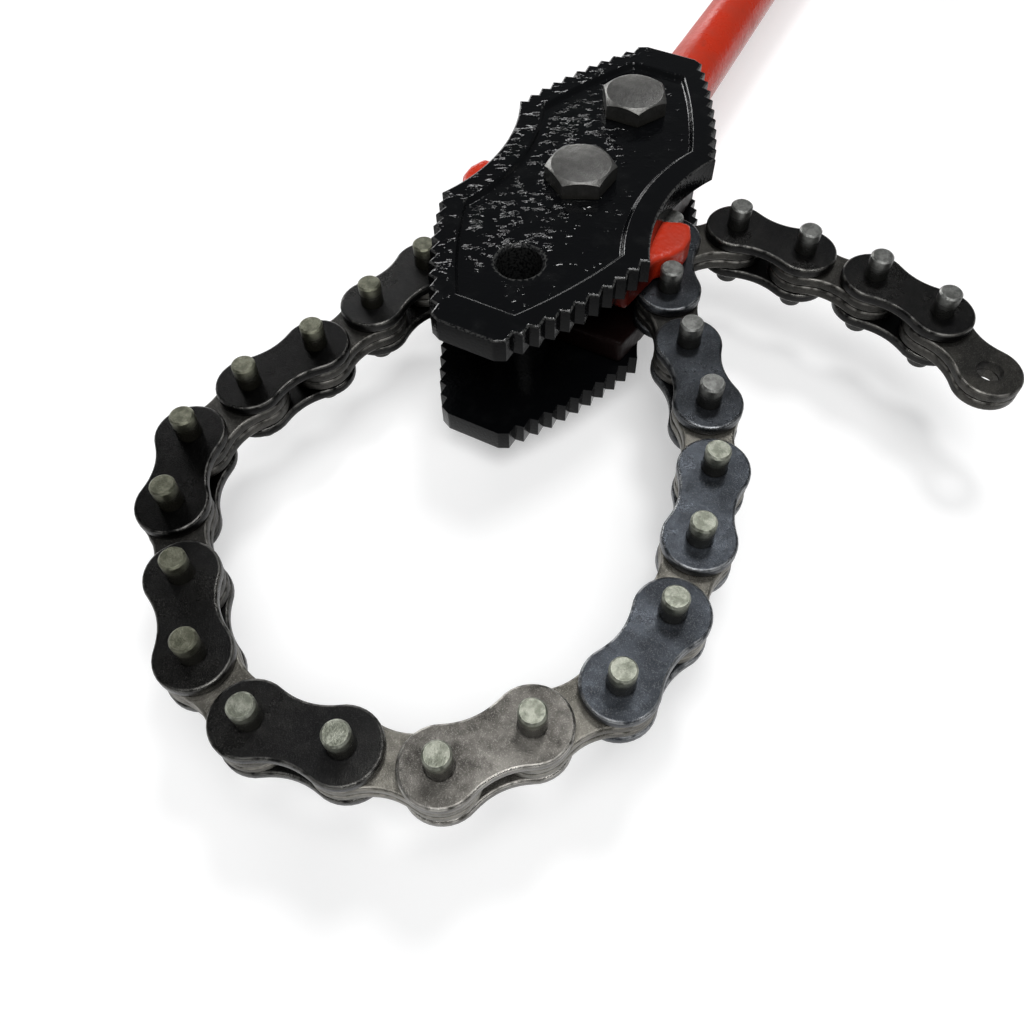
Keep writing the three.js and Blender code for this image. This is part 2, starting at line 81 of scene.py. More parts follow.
# %% Camera
camera_data = bpy.data.cameras.new("camera")
camera_data.sensor_width = 36
camera_data.lens = 33.11
camera = bpy.data.objects.new("camera", camera_data)
camera.location = (-0.3143, -0.1367, 0.3437)
camera.rotation_euler = [math.radians(angle) for angle in (32.94, 1.0, -62.33)]
bpy.context.scene.collection.objects.link(camera)
bpy.context.scene.camera = camera
bpy.context.scene.view_settings.view_transform = "Standard"
print("camera:", camera_data.lens, "mm lens at", tuple(camera.location))

# %% [markdown]
# ## Helpers for meshes
# Every finished piece sits at the origin with its place in its mesh, rides on a body, stands for
# a node of the frame and gets the materials that it takes its finish from. One helper does
# all of that, so that no piece can be forgotten.

# %% Helpers
def finish_piece(name, bm, materials, body, nodes, smooth_angle=35):
    """Turns a bmesh into a piece that rides on a body and stands for nodes of the frame."""
    mesh = bpy.data.meshes.new(name)
    bm.to_mesh(mesh)
    bm.free()
    return finish_mesh(name, mesh, materials, body, nodes, smooth_angle)


def finish_mesh(name, mesh, materials, body, nodes, smooth_angle=35):
    for material in materials:
        mesh.materials.append(material)
    mesh.shade_smooth()
    mesh.set_sharp_from_angle(angle=math.radians(smooth_angle))
    piece = bpy.data.objects.new(name, mesh)
    bpy.context.scene.collection.objects.link(piece)
    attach(piece, body)
    if nodes:
        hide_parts(*nodes)
    return piece


# %% [markdown]
# ## Shared effects
# Oil, wear and cast skin show on several pieces, and on the jaws the wear also carries painted
# highlights. Each is a node group that puts out a mask or a height that changes over the surface,
# and every material gives it its own values.

# %% Node helpers
def new_group(name, inputs, outputs):
    """A node group whose inputs and outputs are all plain numbers."""
    group = bpy.data.node_groups.new(name, "ShaderNodeTree")
    for label, value in inputs.items():
        socket = group.interface.new_socket(name=label, in_out="INPUT",
                                            socket_type="NodeSocketFloat")
        socket.default_value = value
    for label in outputs:
        group.interface.new_socket(name=label, in_out="OUTPUT", socket_type="NodeSocketFloat")
    return group, group.nodes.new("NodeGroupInput"), group.nodes.new("NodeGroupOutput")


def feed(tree, socket, value):
    """Links another node's socket to this one, or sets it to a plain value."""
    if isinstance(value, bpy.types.NodeSocket):
        tree.links.new(value, socket)
    else:
        socket.default_value = value


def add_node(tree, kind, settings=None, **inputs):
    """Adds a node, sets its own settings and then feeds its sockets."""
    node = tree.nodes.new(kind)
    for key, value in (settings or {}).items():
        setattr(node, key, value)
    for label, value in inputs.items():
        feed(tree, node.inputs[label.replace("_", " ")], value)
    return node


def math_node(tree, operation, first, second):
    node = add_node(tree, "ShaderNodeMath", {"operation": operation})
    feed(tree, node.inputs[0], first)
    feed(tree, node.inputs[1], second)
    return node.outputs[0]


def remap(tree, value, low, high, to_low=0.0, to_high=1.0):
    node = add_node(tree, "ShaderNodeMapRange", {"interpolation_type": "SMOOTHSTEP"}, Value=value,
                    From_Min=low, From_Max=high, To_Min=to_low, To_Max=to_high)
    return node.outputs["Result"]


def blend_colour(tree, factor, first, second):
    """Mixes two colours, whose sockets are the seventh and eighth of the node."""
    node = add_node(tree, "ShaderNodeMix", {"data_type": "RGBA"}, Factor=factor)
    feed(tree, node.inputs[6], first)
    feed(tree, node.inputs[7], second)
    return node.outputs[2]


def add_bump(tree, shader, height, strength, distance):
    bump = add_node(tree, "ShaderNodeBump", Height=height, Strength=strength, Distance=distance)
    tree.links.new(bump.outputs["Normal"], shader.inputs["Normal"])


def place_of(tree):
    return tree.nodes.new("ShaderNodeTexCoord").outputs["Object"]


# %% Group: patches, a soft mask of stains and thin places
patches, g_in, g_out = new_group("patches", {"Size": 40.0, "Low": 0.4, "High": 0.6}, ["Mask"])
patch_noise = add_node(patches, "ShaderNodeTexNoise", Vector=place_of(patches),
                       Scale=g_in.outputs["Size"], Detail=5.0, Roughness=0.6)
patch_mask = remap(patches, patch_noise.outputs["Fac"],
                   g_in.outputs["Low"], g_in.outputs["High"])
patches.links.new(patch_mask, g_out.inputs["Mask"])

# %% Group: grain, fine sparkle of blasted or rolled steel
grain, g_in, g_out = new_group("grain", {"Size": 2500.0, "Low": 0.55, "High": 0.75},
                               ["Mask", "Height"])
grain_noise = add_node(grain, "ShaderNodeTexNoise", Vector=place_of(grain),
                       Scale=g_in.outputs["Size"], Detail=2.0, Roughness=0.7)
grain_mask = remap(grain, grain_noise.outputs["Fac"], g_in.outputs["Low"], g_in.outputs["High"])
grain.links.new(grain_mask, g_out.inputs["Mask"])
grain.links.new(grain_noise.outputs["Fac"], g_out.inputs["Height"])

# %% Group: worn edge, read from the 'edge' attribute that the rounded edges carry; on the jaws it also paints highlights
edge_wear_and_glint, g_in, g_out = new_group("edge_wear_and_glint", {"Break up": 300.0, "Amount": 1.0}, ["Mask"])
edge_value = add_node(edge_wear_and_glint, "ShaderNodeAttribute", {"attribute_name": "edge"}).outputs["Fac"]
edge_noise = add_node(edge_wear_and_glint, "ShaderNodeTexNoise", Vector=place_of(edge_wear_and_glint),
                      Scale=g_in.outputs["Break up"], Detail=4.0).outputs["Fac"]
edge_broken = math_node(edge_wear_and_glint, "MULTIPLY", edge_value, remap(edge_wear_and_glint, edge_noise, 0.35, 0.6))
edge_wear_and_glint.links.new(math_node(edge_wear_and_glint, "MULTIPLY", edge_broken, g_in.outputs["Amount"]),
                    g_out.inputs["Mask"])
print("groups:", [group.name for group in bpy.data.node_groups])


def use_group(tree, group, **inputs):
    return add_node(tree, "ShaderNodeGroup", {"node_tree": group}, **inputs)


def new_material(name):
    material = bpy.data.materials.new(name)
    material.use_nodes = True
    tree = material.node_tree
    return material, tree, tree.nodes["Principled BSDF"]


# %% [markdown]
# ## Steel of the chain
# Chain plates are stamped from strip, hardened, blackened and oiled. They are nearly black on the
# flat, with a brown or blue cast from plate to plate, and bright only where the rounded edge has
# rubbed. The inner plates have lost more of their black. One function makes all of these.

# %% Steel finishes
def oiled_steel(name, dark, light, worn, roughness, edge_amount, sparkle, metal=0.85):
    material, tree, shader = new_material(name)
    stain = use_group(tree, patches, Size=48.0, Low=0.34, High=0.68).outputs["Mask"]
    blotch = use_group(tree, patches, Size=190.0, Low=0.42, High=0.7).outputs["Mask"]
    fine = use_group(tree, grain, Size=2300.0, Low=0.5, High=0.72)
    edge = use_group(tree, edge_wear_and_glint, Break_up=230.0, Amount=edge_amount).outputs["Mask"]
    body_colour = blend_colour(tree, stain, (*dark, 1), (*light, 1))
    darker = tuple(0.55 * channel for channel in dark)
    blotched = blend_colour(tree, math_node(tree, "MULTIPLY", blotch, 0.55), body_colour,
                            (*darker, 1))
    flecks = math_node(tree, "MULTIPLY", fine.outputs["Mask"], sparkle)
    flecked = blend_colour(tree, flecks, blotched, (*worn, 1))
    tree.links.new(blend_colour(tree, edge, flecked, (*worn, 1)), shader.inputs["Base Color"])
    shader.inputs["Metallic"].default_value = metal
    rough = remap(tree, stain, 0.0, 1.0, roughness[1], roughness[0])
    rougher = math_node(tree, "ADD", rough, math_node(tree, "MULTIPLY", fine.outputs["Mask"], 0.08))
    tree.links.new(math_node(tree, "SUBTRACT", rougher, math_node(tree, "MULTIPLY", edge, 0.08)),
                   shader.inputs["Roughness"])
    add_bump(tree, shader, fine.outputs["Height"], strength=0.3, distance=0.5 * MM)
    return material


plate_black = oiled_steel(
    "plate_black", dark=(0.006, 0.006, 0.0063), light=(0.018, 0.0175, 0.0165),
    worn=(0.22, 0.215, 0.2), roughness=(0.25, 0.38), edge_amount=0.6, sparkle=0.06)
# A darker copy of plate_black for links 4 and 6: painted shade.
plate_black_shaded = oiled_steel(
    "plate_black_shaded", dark=(0.0035, 0.0035, 0.0036), light=(0.009, 0.0088, 0.0085),
    worn=(0.2, 0.195, 0.185), roughness=(0.27, 0.4), edge_amount=0.6, sparkle=0.03, metal=1.0)
plate_blue = oiled_steel(
    "plate_blue", dark=(0.022, 0.025, 0.03), light=(0.06, 0.068, 0.08),
    worn=(0.4, 0.41, 0.42), roughness=(0.27, 0.4), edge_amount=0.75, sparkle=0.16)
plate_brown = oiled_steel(
    "plate_brown", dark=(0.034, 0.031, 0.027), light=(0.15, 0.142, 0.128),
    worn=(0.55, 0.53, 0.49), roughness=(0.3, 0.42), edge_amount=0.8, sparkle=0.22)
plate_slate = oiled_steel(
    "plate_slate", dark=(0.012, 0.0135, 0.016), light=(0.034, 0.038, 0.044),
    worn=(0.34, 0.35, 0.36), roughness=(0.27, 0.4), edge_amount=0.7, sparkle=0.14)
inner_steel = oiled_steel(
    "inner_steel", dark=(0.06, 0.056, 0.047), light=(0.17, 0.162, 0.14),
    worn=(0.42, 0.4, 0.36), roughness=(0.34, 0.5), edge_amount=0.7, sparkle=0.4)
inner_dark = oiled_steel(
    "inner_dark", dark=(0.018, 0.0175, 0.016), light=(0.055, 0.052, 0.046),
    worn=(0.28, 0.27, 0.25), roughness=(0.34, 0.5), edge_amount=0.7, sparkle=0.2)
print("steels:", [material.name for material in bpy.data.materials])

# %% [markdown]
# ## Steel of pins and bolts
# The pins are cut from bright bar, so their ends are pale with a ground chamfer, and their sides
# are painted darker towards the foot, as shade. The 'foot' attribute on each pin says how far down
# its side a point is, and the painted shade follows it. Bolts are duller and stained, with painted
# shade on their sides.

# %% Pin and bolt finishes
def bright_steel(name, pale, dull, shade_colour, roughness, scratch_size):
    material, tree, shader = new_material(name)
    stain = use_group(tree, patches, Size=260.0, Low=0.38, High=0.62).outputs["Mask"]
    fine = use_group(tree, grain, Size=scratch_size, Low=0.45, High=0.68)
    edge = use_group(tree, edge_wear_and_glint, Break_up=500.0, Amount=0.85).outputs["Mask"]
    foot = add_node(tree, "ShaderNodeAttribute", {"attribute_name": "foot"}).outputs["Fac"]
    face = blend_colour(tree, math_node(tree, "MULTIPLY", stain, 0.75), (*pale, 1), (*dull, 1))
    scratches = math_node(tree, "MULTIPLY", fine.outputs["Mask"], 0.3)
    face = blend_colour(tree, scratches, face, (*dull, 1))
    # Painted shade: the colour darkens down the side towards the foot.
    shaded_side = blend_colour(tree, remap(tree, foot, 0.0, 0.55), face, (*shade_colour, 1))
    lit_edge = tuple(min(1.0, 1.5 * channel) for channel in pale)
    tree.links.new(blend_colour(tree, edge, shaded_side, (*lit_edge, 1)), shader.inputs["Base Color"])
    tree.links.new(remap(tree, foot, 0.0, 0.6, 0.85, 0.35), shader.inputs["Metallic"])
    tree.links.new(remap(tree, foot, 0.0, 0.6, roughness[1], roughness[0]),
                   shader.inputs["Roughness"])
    add_bump(tree, shader, fine.outputs["Height"], strength=0.35, distance=0.5 * MM)
    return material


pin_steel = bright_steel(
    "pin_steel", pale=(0.3, 0.31, 0.26), dull=(0.1, 0.108, 0.082),
    shade_colour=(0.024, 0.023, 0.018), roughness=(0.16, 0.4), scratch_size=1500.0)
# A darker, greener copy of pin_steel for links 2 to 8; the green is the pins' own tone, the
# darkness is painted shade.
pin_shaded = bright_steel(
    "pin_shaded", pale=(0.17, 0.172, 0.128), dull=(0.06, 0.062, 0.042),
    shade_colour=(0.02, 0.019, 0.014), roughness=(0.2, 0.42), scratch_size=1500.0)
# A greyer, darker copy of pin_steel for links 18 to 24; the darkness is painted shade.
pin_grey_shaded = bright_steel(
    "pin_grey_shaded", pale=(0.215, 0.218, 0.208), dull=(0.08, 0.082, 0.076),
    shade_colour=(0.022, 0.022, 0.02), roughness=(0.18, 0.4), scratch_size=1500.0)
bolt_steel = bright_steel(
    "bolt_steel", pale=(0.14, 0.138, 0.132), dull=(0.09, 0.089, 0.084),
    shade_colour=(0.022, 0.02, 0.014), roughness=(0.28, 0.4), scratch_size=1100.0)
print("pins and bolts:", pin_steel.name, pin_shaded.name, pin_grey_shaded.name, bolt_steel.name)

# %% [markdown]
# ## Paint of the jaws
# The jaws are rough forgings dipped in thin gloss black. The paint is glass-smooth, but it lies on
# a lumpy skin, so light breaks up into short wet strokes. The lumps are real in the mesh where
# they are large, and a finer bump adds the strokes. The 'lumps' attribute says where it is rough.
# The sides and the teeth have lost their gloss in use, so they get a copy that mirrors less.

# %% Jaw paint
black_paint, tree, shader = new_material("black_paint")
lumps = add_node(tree, "ShaderNodeAttribute", {"attribute_name": "lumps"}).outputs["Fac"]
STROKE_HEADING = -62
stretched = add_node(tree, "ShaderNodeMapping", {"vector_type": "TEXTURE"},
                     Vector=place_of(tree), Rotation=(0, 0, math.radians(STROKE_HEADING)),
                     Scale=(1.8, 1.0, 1.0))
strokes = add_node(tree, "ShaderNodeTexNoise", Vector=stretched.outputs["Vector"],
                   Scale=300.0, Detail=1.5)
stroke_height = remap(tree, strokes.outputs["Fac"], 0.49, 0.8)
gathered = use_group(tree, patches, Size=75.0, Low=0.36, High=0.6).outputs["Mask"]
stroke_height = math_node(tree, "MULTIPLY", stroke_height,
                          remap(tree, gathered, 0.0, 1.0, 0.15, 1.0))
fine_skin = add_node(tree, "ShaderNodeTexNoise", Vector=place_of(tree), Scale=900.0, Detail=2.0)
height = math_node(tree, "MULTIPLY", stroke_height, lumps)
orange_peel = math_node(tree, "MULTIPLY", fine_skin.outputs["Fac"], 0.1)
skin_height = math_node(tree, "ADD", height, orange_peel)
add_bump(tree, shader, skin_height, strength=0.8, distance=1.4 * MM)
dust = use_group(tree, patches, Size=90.0, Low=0.5, High=0.75).outputs["Mask"]
scuff_and_glint = use_group(tree, edge_wear_and_glint, Break_up=900.0, Amount=0.8).outputs["Mask"]
paint_tone = blend_colour(tree, dust, (0.0022, 0.0024, 0.0029, 1), (0.0045, 0.0048, 0.0052, 1))
# The grey metal at hole mouths, hole walls and the brim is worn paint and also a painted highlight.
tree.links.new(blend_colour(tree, scuff_and_glint, paint_tone, (0.16, 0.16, 0.155, 1)),
               shader.inputs["Base Color"])
tree.links.new(math_node(tree, "MULTIPLY", scuff_and_glint, 0.7), shader.inputs["Metallic"])
tree.links.new(remap(tree, dust, 0.0, 1.0, 0.07, 0.16), shader.inputs["Roughness"])
shader.inputs["Specular IOR Level"].default_value = 0.32
edge_paint = black_paint.copy()
edge_paint.name = "edge_paint"
edge_paint.node_tree.nodes["Principled BSDF"].inputs["Specular IOR Level"].default_value = 0.1

# %% [markdown]
# ## Paint of the handle
# Red-orange enamel over a forging that was only rough-ground: a little duller and browner in
# patches, with a fine orange peel. Between the jaws its colour is darkened as painted shade, and it
# mirrors less there.

# %% Handle paint
orange_paint, tree, shader = new_material("orange_paint")
fade = use_group(tree, patches, Size=24.0, Low=0.4, High=0.68).outputs["Mask"]
specks = use_group(tree, patches, Size=150.0, Low=0.58, High=0.78).outputs["Mask"]
painted_shade = add_node(tree, "ShaderNodeAttribute", {"attribute_name": "painted_shade"}).outputs["Fac"]
fresh = blend_colour(tree, fade, (0.54, 0.03, 0.009, 1), (0.43, 0.034, 0.014, 1))
marked = blend_colour(tree, math_node(tree, "MULTIPLY", specks, 0.4), fresh, (0.2, 0.03, 0.018, 1))
# Between the jaws the paint is blended to near black by the attribute read above: painted shade.
tree.links.new(blend_colour(tree, painted_shade, marked, (0.006, 0.0022, 0.002, 1)),
               shader.inputs["Base Color"])
sheen = remap(tree, fade, 0.0, 1.0, 0.24, 0.42)
tree.links.new(math_node(tree, "ADD", sheen, math_node(tree, "MULTIPLY", painted_shade, 0.1)),
               shader.inputs["Roughness"])
shader.inputs["Specular IOR Level"].default_value = 0.28
peel = add_node(tree, "ShaderNodeTexNoise", Vector=place_of(tree), Scale=380.0, Detail=3.0)
add_bump(tree, shader, peel.outputs["Fac"], strength=0.35, distance=0.9 * MM)
# A copy that mirrors less, for the faces between the jaws that carry the painted shade.
shade_painted_orange = orange_paint.copy()
shade_painted_orange.name = "shade_painted_orange"
shade_painted_orange.node_tree.nodes["Principled BSDF"].inputs["Specular IOR Level"].default_value = 0.08
print("materials:", len(bpy.data.materials))

# %% [markdown]
# ## Outlines
# Plates and jaws are both the same on all four sides, so only a quarter of each border is drawn.
# Round stretches are a point spun about a centre. Two mirrors make the whole border, and one face
# fills it. The rest of the shape is insets and extrusions of that face.

# %% Outline helpers
WELD = 0.02 * MM


def nearest(bm, place):
    return min(bm.verts, key=lambda v: (v.co - place).length)


def spun_run(bm, start, centre, sweep, steps):
    """Spins a new point about a centre and leaves its path as edges."""
    first = bm.verts.new(start)
    bmesh.ops.spin(bm, geom=[first], cent=centre, axis=Z_AXIS, angle=sweep, steps=steps,
                   use_merge=False, use_duplicate=False)


def closed_face(bm):
    """Mirrors a quarter of a border into all four and fills it with one face that looks up."""
    for axis in ("X", "Y"):
        bmesh.ops.mirror(bm, geom=bm.verts[:] + bm.edges[:], axis=axis, merge_dist=WELD)
    bmesh.ops.remove_doubles(bm, verts=bm.verts[:], dist=WELD)
    loose = [v for v in bm.verts if len(v.link_edges) == 1]
    while loose:
        end = loose.pop()
        twin = min(loose, key=lambda v: (v.co - end.co).length)
        loose.remove(twin)
        bm.edges.new((end, twin))
    face = bmesh.ops.contextual_create(bm, geom=bm.edges[:])["faces"][0]
    face.normal_update()
    if face.normal.z < 0:
        face.normal_flip()
    return face


def cap(bm, side):
    """The widest face at the top (side 1) or at the bottom (side -1)."""
    return max(bm.faces, key=lambda f: (round(side * f.calc_center_median().z, 7), len(f.verts)))


def points_of(geom):
    return [g for g in geom if isinstance(g, bmesh.types.BMVert)]


def extruded(bm, face, low, high):
    bmesh.ops.translate(bm, verts=bm.verts[:], vec=(0, 0, low))
    lifted = points_of(bmesh.ops.extrude_face_region(bm, geom=[face])["geom"])
    bmesh.ops.translate(bm, verts=lifted, vec=(0, 0, high - low))
    bmesh.ops.recalc_face_normals(bm, faces=bm.faces[:])


def inset_cap(bm, side, inset, rise):
    bmesh.ops.inset_region(bm, faces=[cap(bm, side)], thickness=inset, depth=rise,
                           use_even_offset=True, use_boundary=True)


def rounded_caps(bm, rounding, steps=3, sides=(1, -1)):
    """Rounds the border over at both faces and adds a thin ring that keeps the flat flat."""
    for side in sides:
        for step in range(steps):
            low_angle = math.pi / 2 * step / steps
            high_angle = math.pi / 2 * (step + 1) / steps
            inset = rounding * (math.cos(low_angle) - math.cos(high_angle))
            rise = rounding * (math.sin(high_angle) - math.sin(low_angle))
            inset_cap(bm, side, inset, rise)
        inset_cap(bm, side, rounding / 10, 0)


# %% Helpers for open borders, holes and turned shapes
def open_cap(bm, side):
    bmesh.ops.delete(bm, geom=[cap(bm, side)], context="FACES_ONLY")


def fill_level(bm, z, near=None, reach=1.0):
    """Fills between the open borders that lie at one height, round their holes."""
    rims = [e for e in bm.edges if len(e.link_faces) < 2
            and all(abs(v.co.z - z) < WELD for v in e.verts)
            and (near is None or all((v.co - near).xy.length < reach for v in e.verts))]
    bmesh.ops.triangle_fill(bm, edges=rims, use_beauty=True, use_dissolve=False, normal=Z_AXIS)


def new_circle(bm, place, radius, segments):
    """Draws a circle and gives its edges in turn."""
    points = bmesh.ops.create_circle(bm, segments=segments, radius=radius,
                                     matrix=Matrix.Translation(place))["verts"]
    return list(dict.fromkeys(edge for point in points for edge in point.link_edges))


def grown_ring(bm, ring):
    """Extrudes a ring of edges where it lies, and gives its new points and new edges."""
    grown = bmesh.ops.extrude_edge_only(bm, edges=ring)["geom"]
    points = points_of(grown)
    return points, [g for g in grown if isinstance(g, bmesh.types.BMEdge)
                    and all(v in points for v in g.verts)]


def hole_wall(bm, x, y, mouth_z, foot_z, radius, chamfer, segments=32):
    """A drilled hole: a chamfered mouth at mouth_z and a straight wall to foot_z."""
    towards_foot = math.copysign(1, foot_z - mouth_z)
    ring = new_circle(bm, (x, y, mouth_z), radius + chamfer, segments)
    stages = ((radius / (radius + chamfer), chamfer), (1.0, abs(foot_z - mouth_z) - chamfer))
    for share, drop in stages:
        points, ring = grown_ring(bm, ring)
        bmesh.ops.scale(bm, verts=points, vec=(share, share, 1),
                        space=Matrix.Translation((-x, -y, 0)))
        bmesh.ops.translate(bm, verts=points, vec=(0, 0, towards_foot * drop))


def set_attribute(bm, name, value_at):
    layer = bm.verts.layers.float.get(name) or bm.verts.layers.float.new(name)
    for vertex in bm.verts:
        vertex[layer] = value_at(vertex.co)


def turned_profile(points, axis, centre, segments=32):
    """Spins a profile once round an axis and welds it."""
    bm = bmesh.new()
    verts = [bm.verts.new(point) for point in points]
    edges = [bm.edges.new(pair) for pair in zip(verts, verts[1:])]
    bmesh.ops.spin(bm, geom=verts + edges, cent=centre, axis=axis, angle=2 * math.pi,
                   steps=segments, use_merge=True, use_duplicate=False)
    bmesh.ops.remove_doubles(bm, verts=bm.verts[:], dist=WELD)
    bmesh.ops.recalc_face_normals(bm, faces=bm.faces[:])
    return bm


# %% [markdown]
# ## Jaws
# A jaw is a flat plate with a toothed edge on each side of each end, and a waist in the middle.
# Valleys and tips of the teeth are two spins about the same centre, joined in turn. The brim is
# rounded by insets, the panel's wall is a second border that goes down in soft steps, and the
# panel's floor is cut into a fine grid, so that the lumps of the forging can be real.

# %% Jaw sizes
JAW_HALF_LENGTH = 102 * MM
JAW_NOSE_HALF_WIDTH = 15 * MM
SHOULDER = Vector((36 * MM, 48 * MM, 0))
EDGE_BULGE = 3 * MM
WAIST_HALF_WIDTH = 39.4 * MM
JAW_THICKNESS = 11 * MM
TEETH = 10
TOOTH_DEPTH = 2.8 * MM
TOOTH_TIP_SHARE = 0.36
TOOTHED_SHARE = 0.97
BRIM_ROUNDING = 1.0 * MM
PANEL_DEPTH = 2.2 * MM
PANEL_NOSE_INSET = 15.2 * MM
PANEL_EDGE_INSET = 10 * MM
PANEL_WALL_RUN = 2.4 * MM
PANEL_WALL_STEPS = 7
HOLE_RADIUS = 9.5 * MM
HOLE_CHAMFER = 1.1 * MM
BOSS_RADIUS = 13 * MM
BOLT_SPACING = 57 * MM
GRID_STEP = 1.3 * MM
LUMP_HEIGHT = 0.45 * MM
RIM_LUMPS_SHARE = 0.45
# Edge values: worn paint that also paints highlights at the hole mouths, the brim and the hole
# walls.
MOUTH_SCUFF_AND_GLINT, BRIM_SCUFF_AND_GLINT, WALL_SCUFF_AND_GLINT = 0.8, 0.55, 0.25
jaw_low, jaw_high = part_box("upper_jaw")
JAW_TOP = jaw_high.z
JAW_INNER = JAW_TOP - JAW_THICKNESS
BOSS_FOOT = jaw_low.z
PANEL_FLOOR = JAW_TOP - PANEL_DEPTH
MIDDLE_Z = 48.5 * MM


def arc_through(start, end, bulge):
    """Centre and radius of the arc from start to end that bulges away from the jaw's middle."""
    chord = end - start
    radius = (chord.length ** 2 / 4 + bulge ** 2) / (2 * bulge)
    outwards = Vector((chord.y, -chord.x, 0)).normalized()
    return (start + end) / 2 + outwards * (bulge - radius), radius


def angle_about(centre, point):
    return math.atan2(point.y - centre.y, point.x - centre.x)


def on_circle(centre, radius, angle):
    return centre + Vector((math.cos(angle), math.sin(angle), 0)) * radius


nose_corner = Vector((JAW_HALF_LENGTH, JAW_NOSE_HALF_WIDTH, 0))
edge_centre, edge_radius = arc_through(nose_corner, SHOULDER, EDGE_BULGE)
waist_dip = SHOULDER.y - WAIST_HALF_WIDTH
waist_radius = (SHOULDER.x ** 2 + waist_dip ** 2) / (2 * waist_dip)
waist_centre = Vector((0, WAIST_HALF_WIDTH + waist_radius, 0))
print("edge radius", round(edge_radius / MM, 1), "waist radius", round(waist_radius / MM, 1))


# %% Jaw outlines
def waist_run(bm, corner):
    sweep = -math.pi / 2 - angle_about(waist_centre, corner)
    spun_run(bm, corner, waist_centre, sweep, 14)


def toothed_face(bm):
    first = angle_about(edge_centre, nose_corner)
    step = (angle_about(edge_centre, SHOULDER) - first) * TOOTHED_SHARE / TEETH
    valley_radius = edge_radius - TOOTH_DEPTH
    spun_run(bm, on_circle(edge_centre, valley_radius, first), edge_centre, step * TEETH, TEETH)
    tip_angle = first + TOOTH_TIP_SHARE * step
    first_tip = on_circle(edge_centre, edge_radius, tip_angle)
    spun_run(bm, first_tip, edge_centre, step * (TEETH - 1), TEETH - 1)
    for edge in bm.edges[:]:
        bm.edges.remove(edge)
    in_turn = sorted(bm.verts, key=lambda v: angle_about(edge_centre, v.co))
    for pair in zip(in_turn, in_turn[1:]):
        bm.edges.new(pair)
    in_turn[0].co = Vector((JAW_HALF_LENGTH, JAW_NOSE_HALF_WIDTH - TOOTH_DEPTH, 0))
    last_valley = in_turn[-1].co.copy()
    waist_run(bm, SHOULDER)
    bm.edges.new((nearest(bm, last_valley), nearest(bm, SHOULDER)))
    return closed_face(bm)


def panel_face(bm):
    radius = edge_radius - PANEL_EDGE_INSET
    waist_side = waist_radius + PANEL_EDGE_INSET
    span = waist_centre - edge_centre
    along = (span.length ** 2 + radius ** 2 - waist_side ** 2) / (2 * span.length)
    aside = math.sqrt(radius ** 2 - along ** 2)
    unit = span.normalized()
    corner = edge_centre + unit * along + Vector((unit.y, -unit.x, 0)) * aside
    nose_x = JAW_HALF_LENGTH - PANEL_NOSE_INSET
    nose_y = edge_centre.y + math.sqrt(radius ** 2 - (nose_x - edge_centre.x) ** 2)
    start = Vector((nose_x, nose_y, 0))
    sweep = angle_about(edge_centre, corner) - angle_about(edge_centre, start)
    spun_run(bm, start, edge_centre, sweep, 16)
    waist_run(bm, corner)
    return closed_face(bm)


# %% Jaw panel and its grid
def add_panel(bm):
    """Adds the panel's wall to the jaw, as a border that goes down in soft steps."""
    wall = bmesh.new()
    panel_face(wall)
    bmesh.ops.translate(wall, verts=wall.verts[:], vec=(0, 0, JAW_TOP))
    for step in range(PANEL_WALL_STEPS):
        before = (1 - math.cos(math.pi * step / PANEL_WALL_STEPS)) / 2
        after = (1 - math.cos(math.pi * (step + 1) / PANEL_WALL_STEPS)) / 2
        inset_cap(wall, -1, PANEL_WALL_RUN / PANEL_WALL_STEPS, -PANEL_DEPTH * (after - before))
    open_cap(wall, -1)
    shell = bpy.data.meshes.new("panel_wall")
    wall.to_mesh(shell)
    wall.free()
    bm.from_mesh(shell)
    bpy.data.meshes.remove(shell)


def cut_grid(bm):
    """Cuts the faces that look up into a fine grid, which the lumps need."""
    for axis, half in ((0, JAW_HALF_LENGTH), (1, SHOULDER.y)):
        normal = Vector((1, 0, 0)) if axis == 0 else Vector((0, 1, 0))
        count = int(half / GRID_STEP)
        for index in range(-count, count + 1):
            place = normal * (index + 0.37) * GRID_STEP
            bmesh.ops.bisect_plane(bm, geom=bm.verts[:] + bm.edges[:] + bm.faces[:], dist=1e-7,
                                   plane_co=place, plane_no=normal)


# Lumps per metre along and across the strokes' heading, the height of the noise's slice and the
# share that it adds.
BROAD_LUMPS = (95, 150, 0.3, 0.55)
SMALL_LUMPS = (190, 320, 4.1, 0.3)


def lump_at(place):
    """Height share of the forging's skin: lumps that are drawn out along the strokes' heading."""
    turn = math.radians(STROKE_HEADING)
    along = place.x * math.cos(turn) + place.y * math.sin(turn)
    across = place.y * math.cos(turn) - place.x * math.sin(turn)
    height = 0.5
    for per_metre_along, per_metre_across, level, share in (BROAD_LUMPS, SMALL_LUMPS):
        spot = Vector((along * per_metre_along, across * per_metre_across, level))
        height += share * noise.noise(spot)
    return height


def smooth_share(value, low, high):
    share = min(1.0, max(0.0, (value - low) / (high - low)))
    return share * share * (3 - 2 * share)


# Where the skin turns from smooth to rough: across the jaw, slantwise off its nose, and away
# from the rear bolt.
ACROSS_RANGE = (-16 * MM, 2 * MM)
NOSE_RANGE = (-60 * MM, -46 * MM)
BOLT_RANGE = (12 * MM, 24 * MM)


def panel_roughness(place):
    """How rough the skin is: rough on the left half, but not by the nose or the rear bolt."""
    rear_gap = (place.xy - Vector((BOLT_SPACING, 0))).length
    leftwards = smooth_share(place.y, *ACROSS_RANGE)
    off_the_nose = smooth_share(place.x + place.y, *NOSE_RANGE)
    return leftwards * off_the_nose * smooth_share(rear_gap, *BOLT_RANGE)


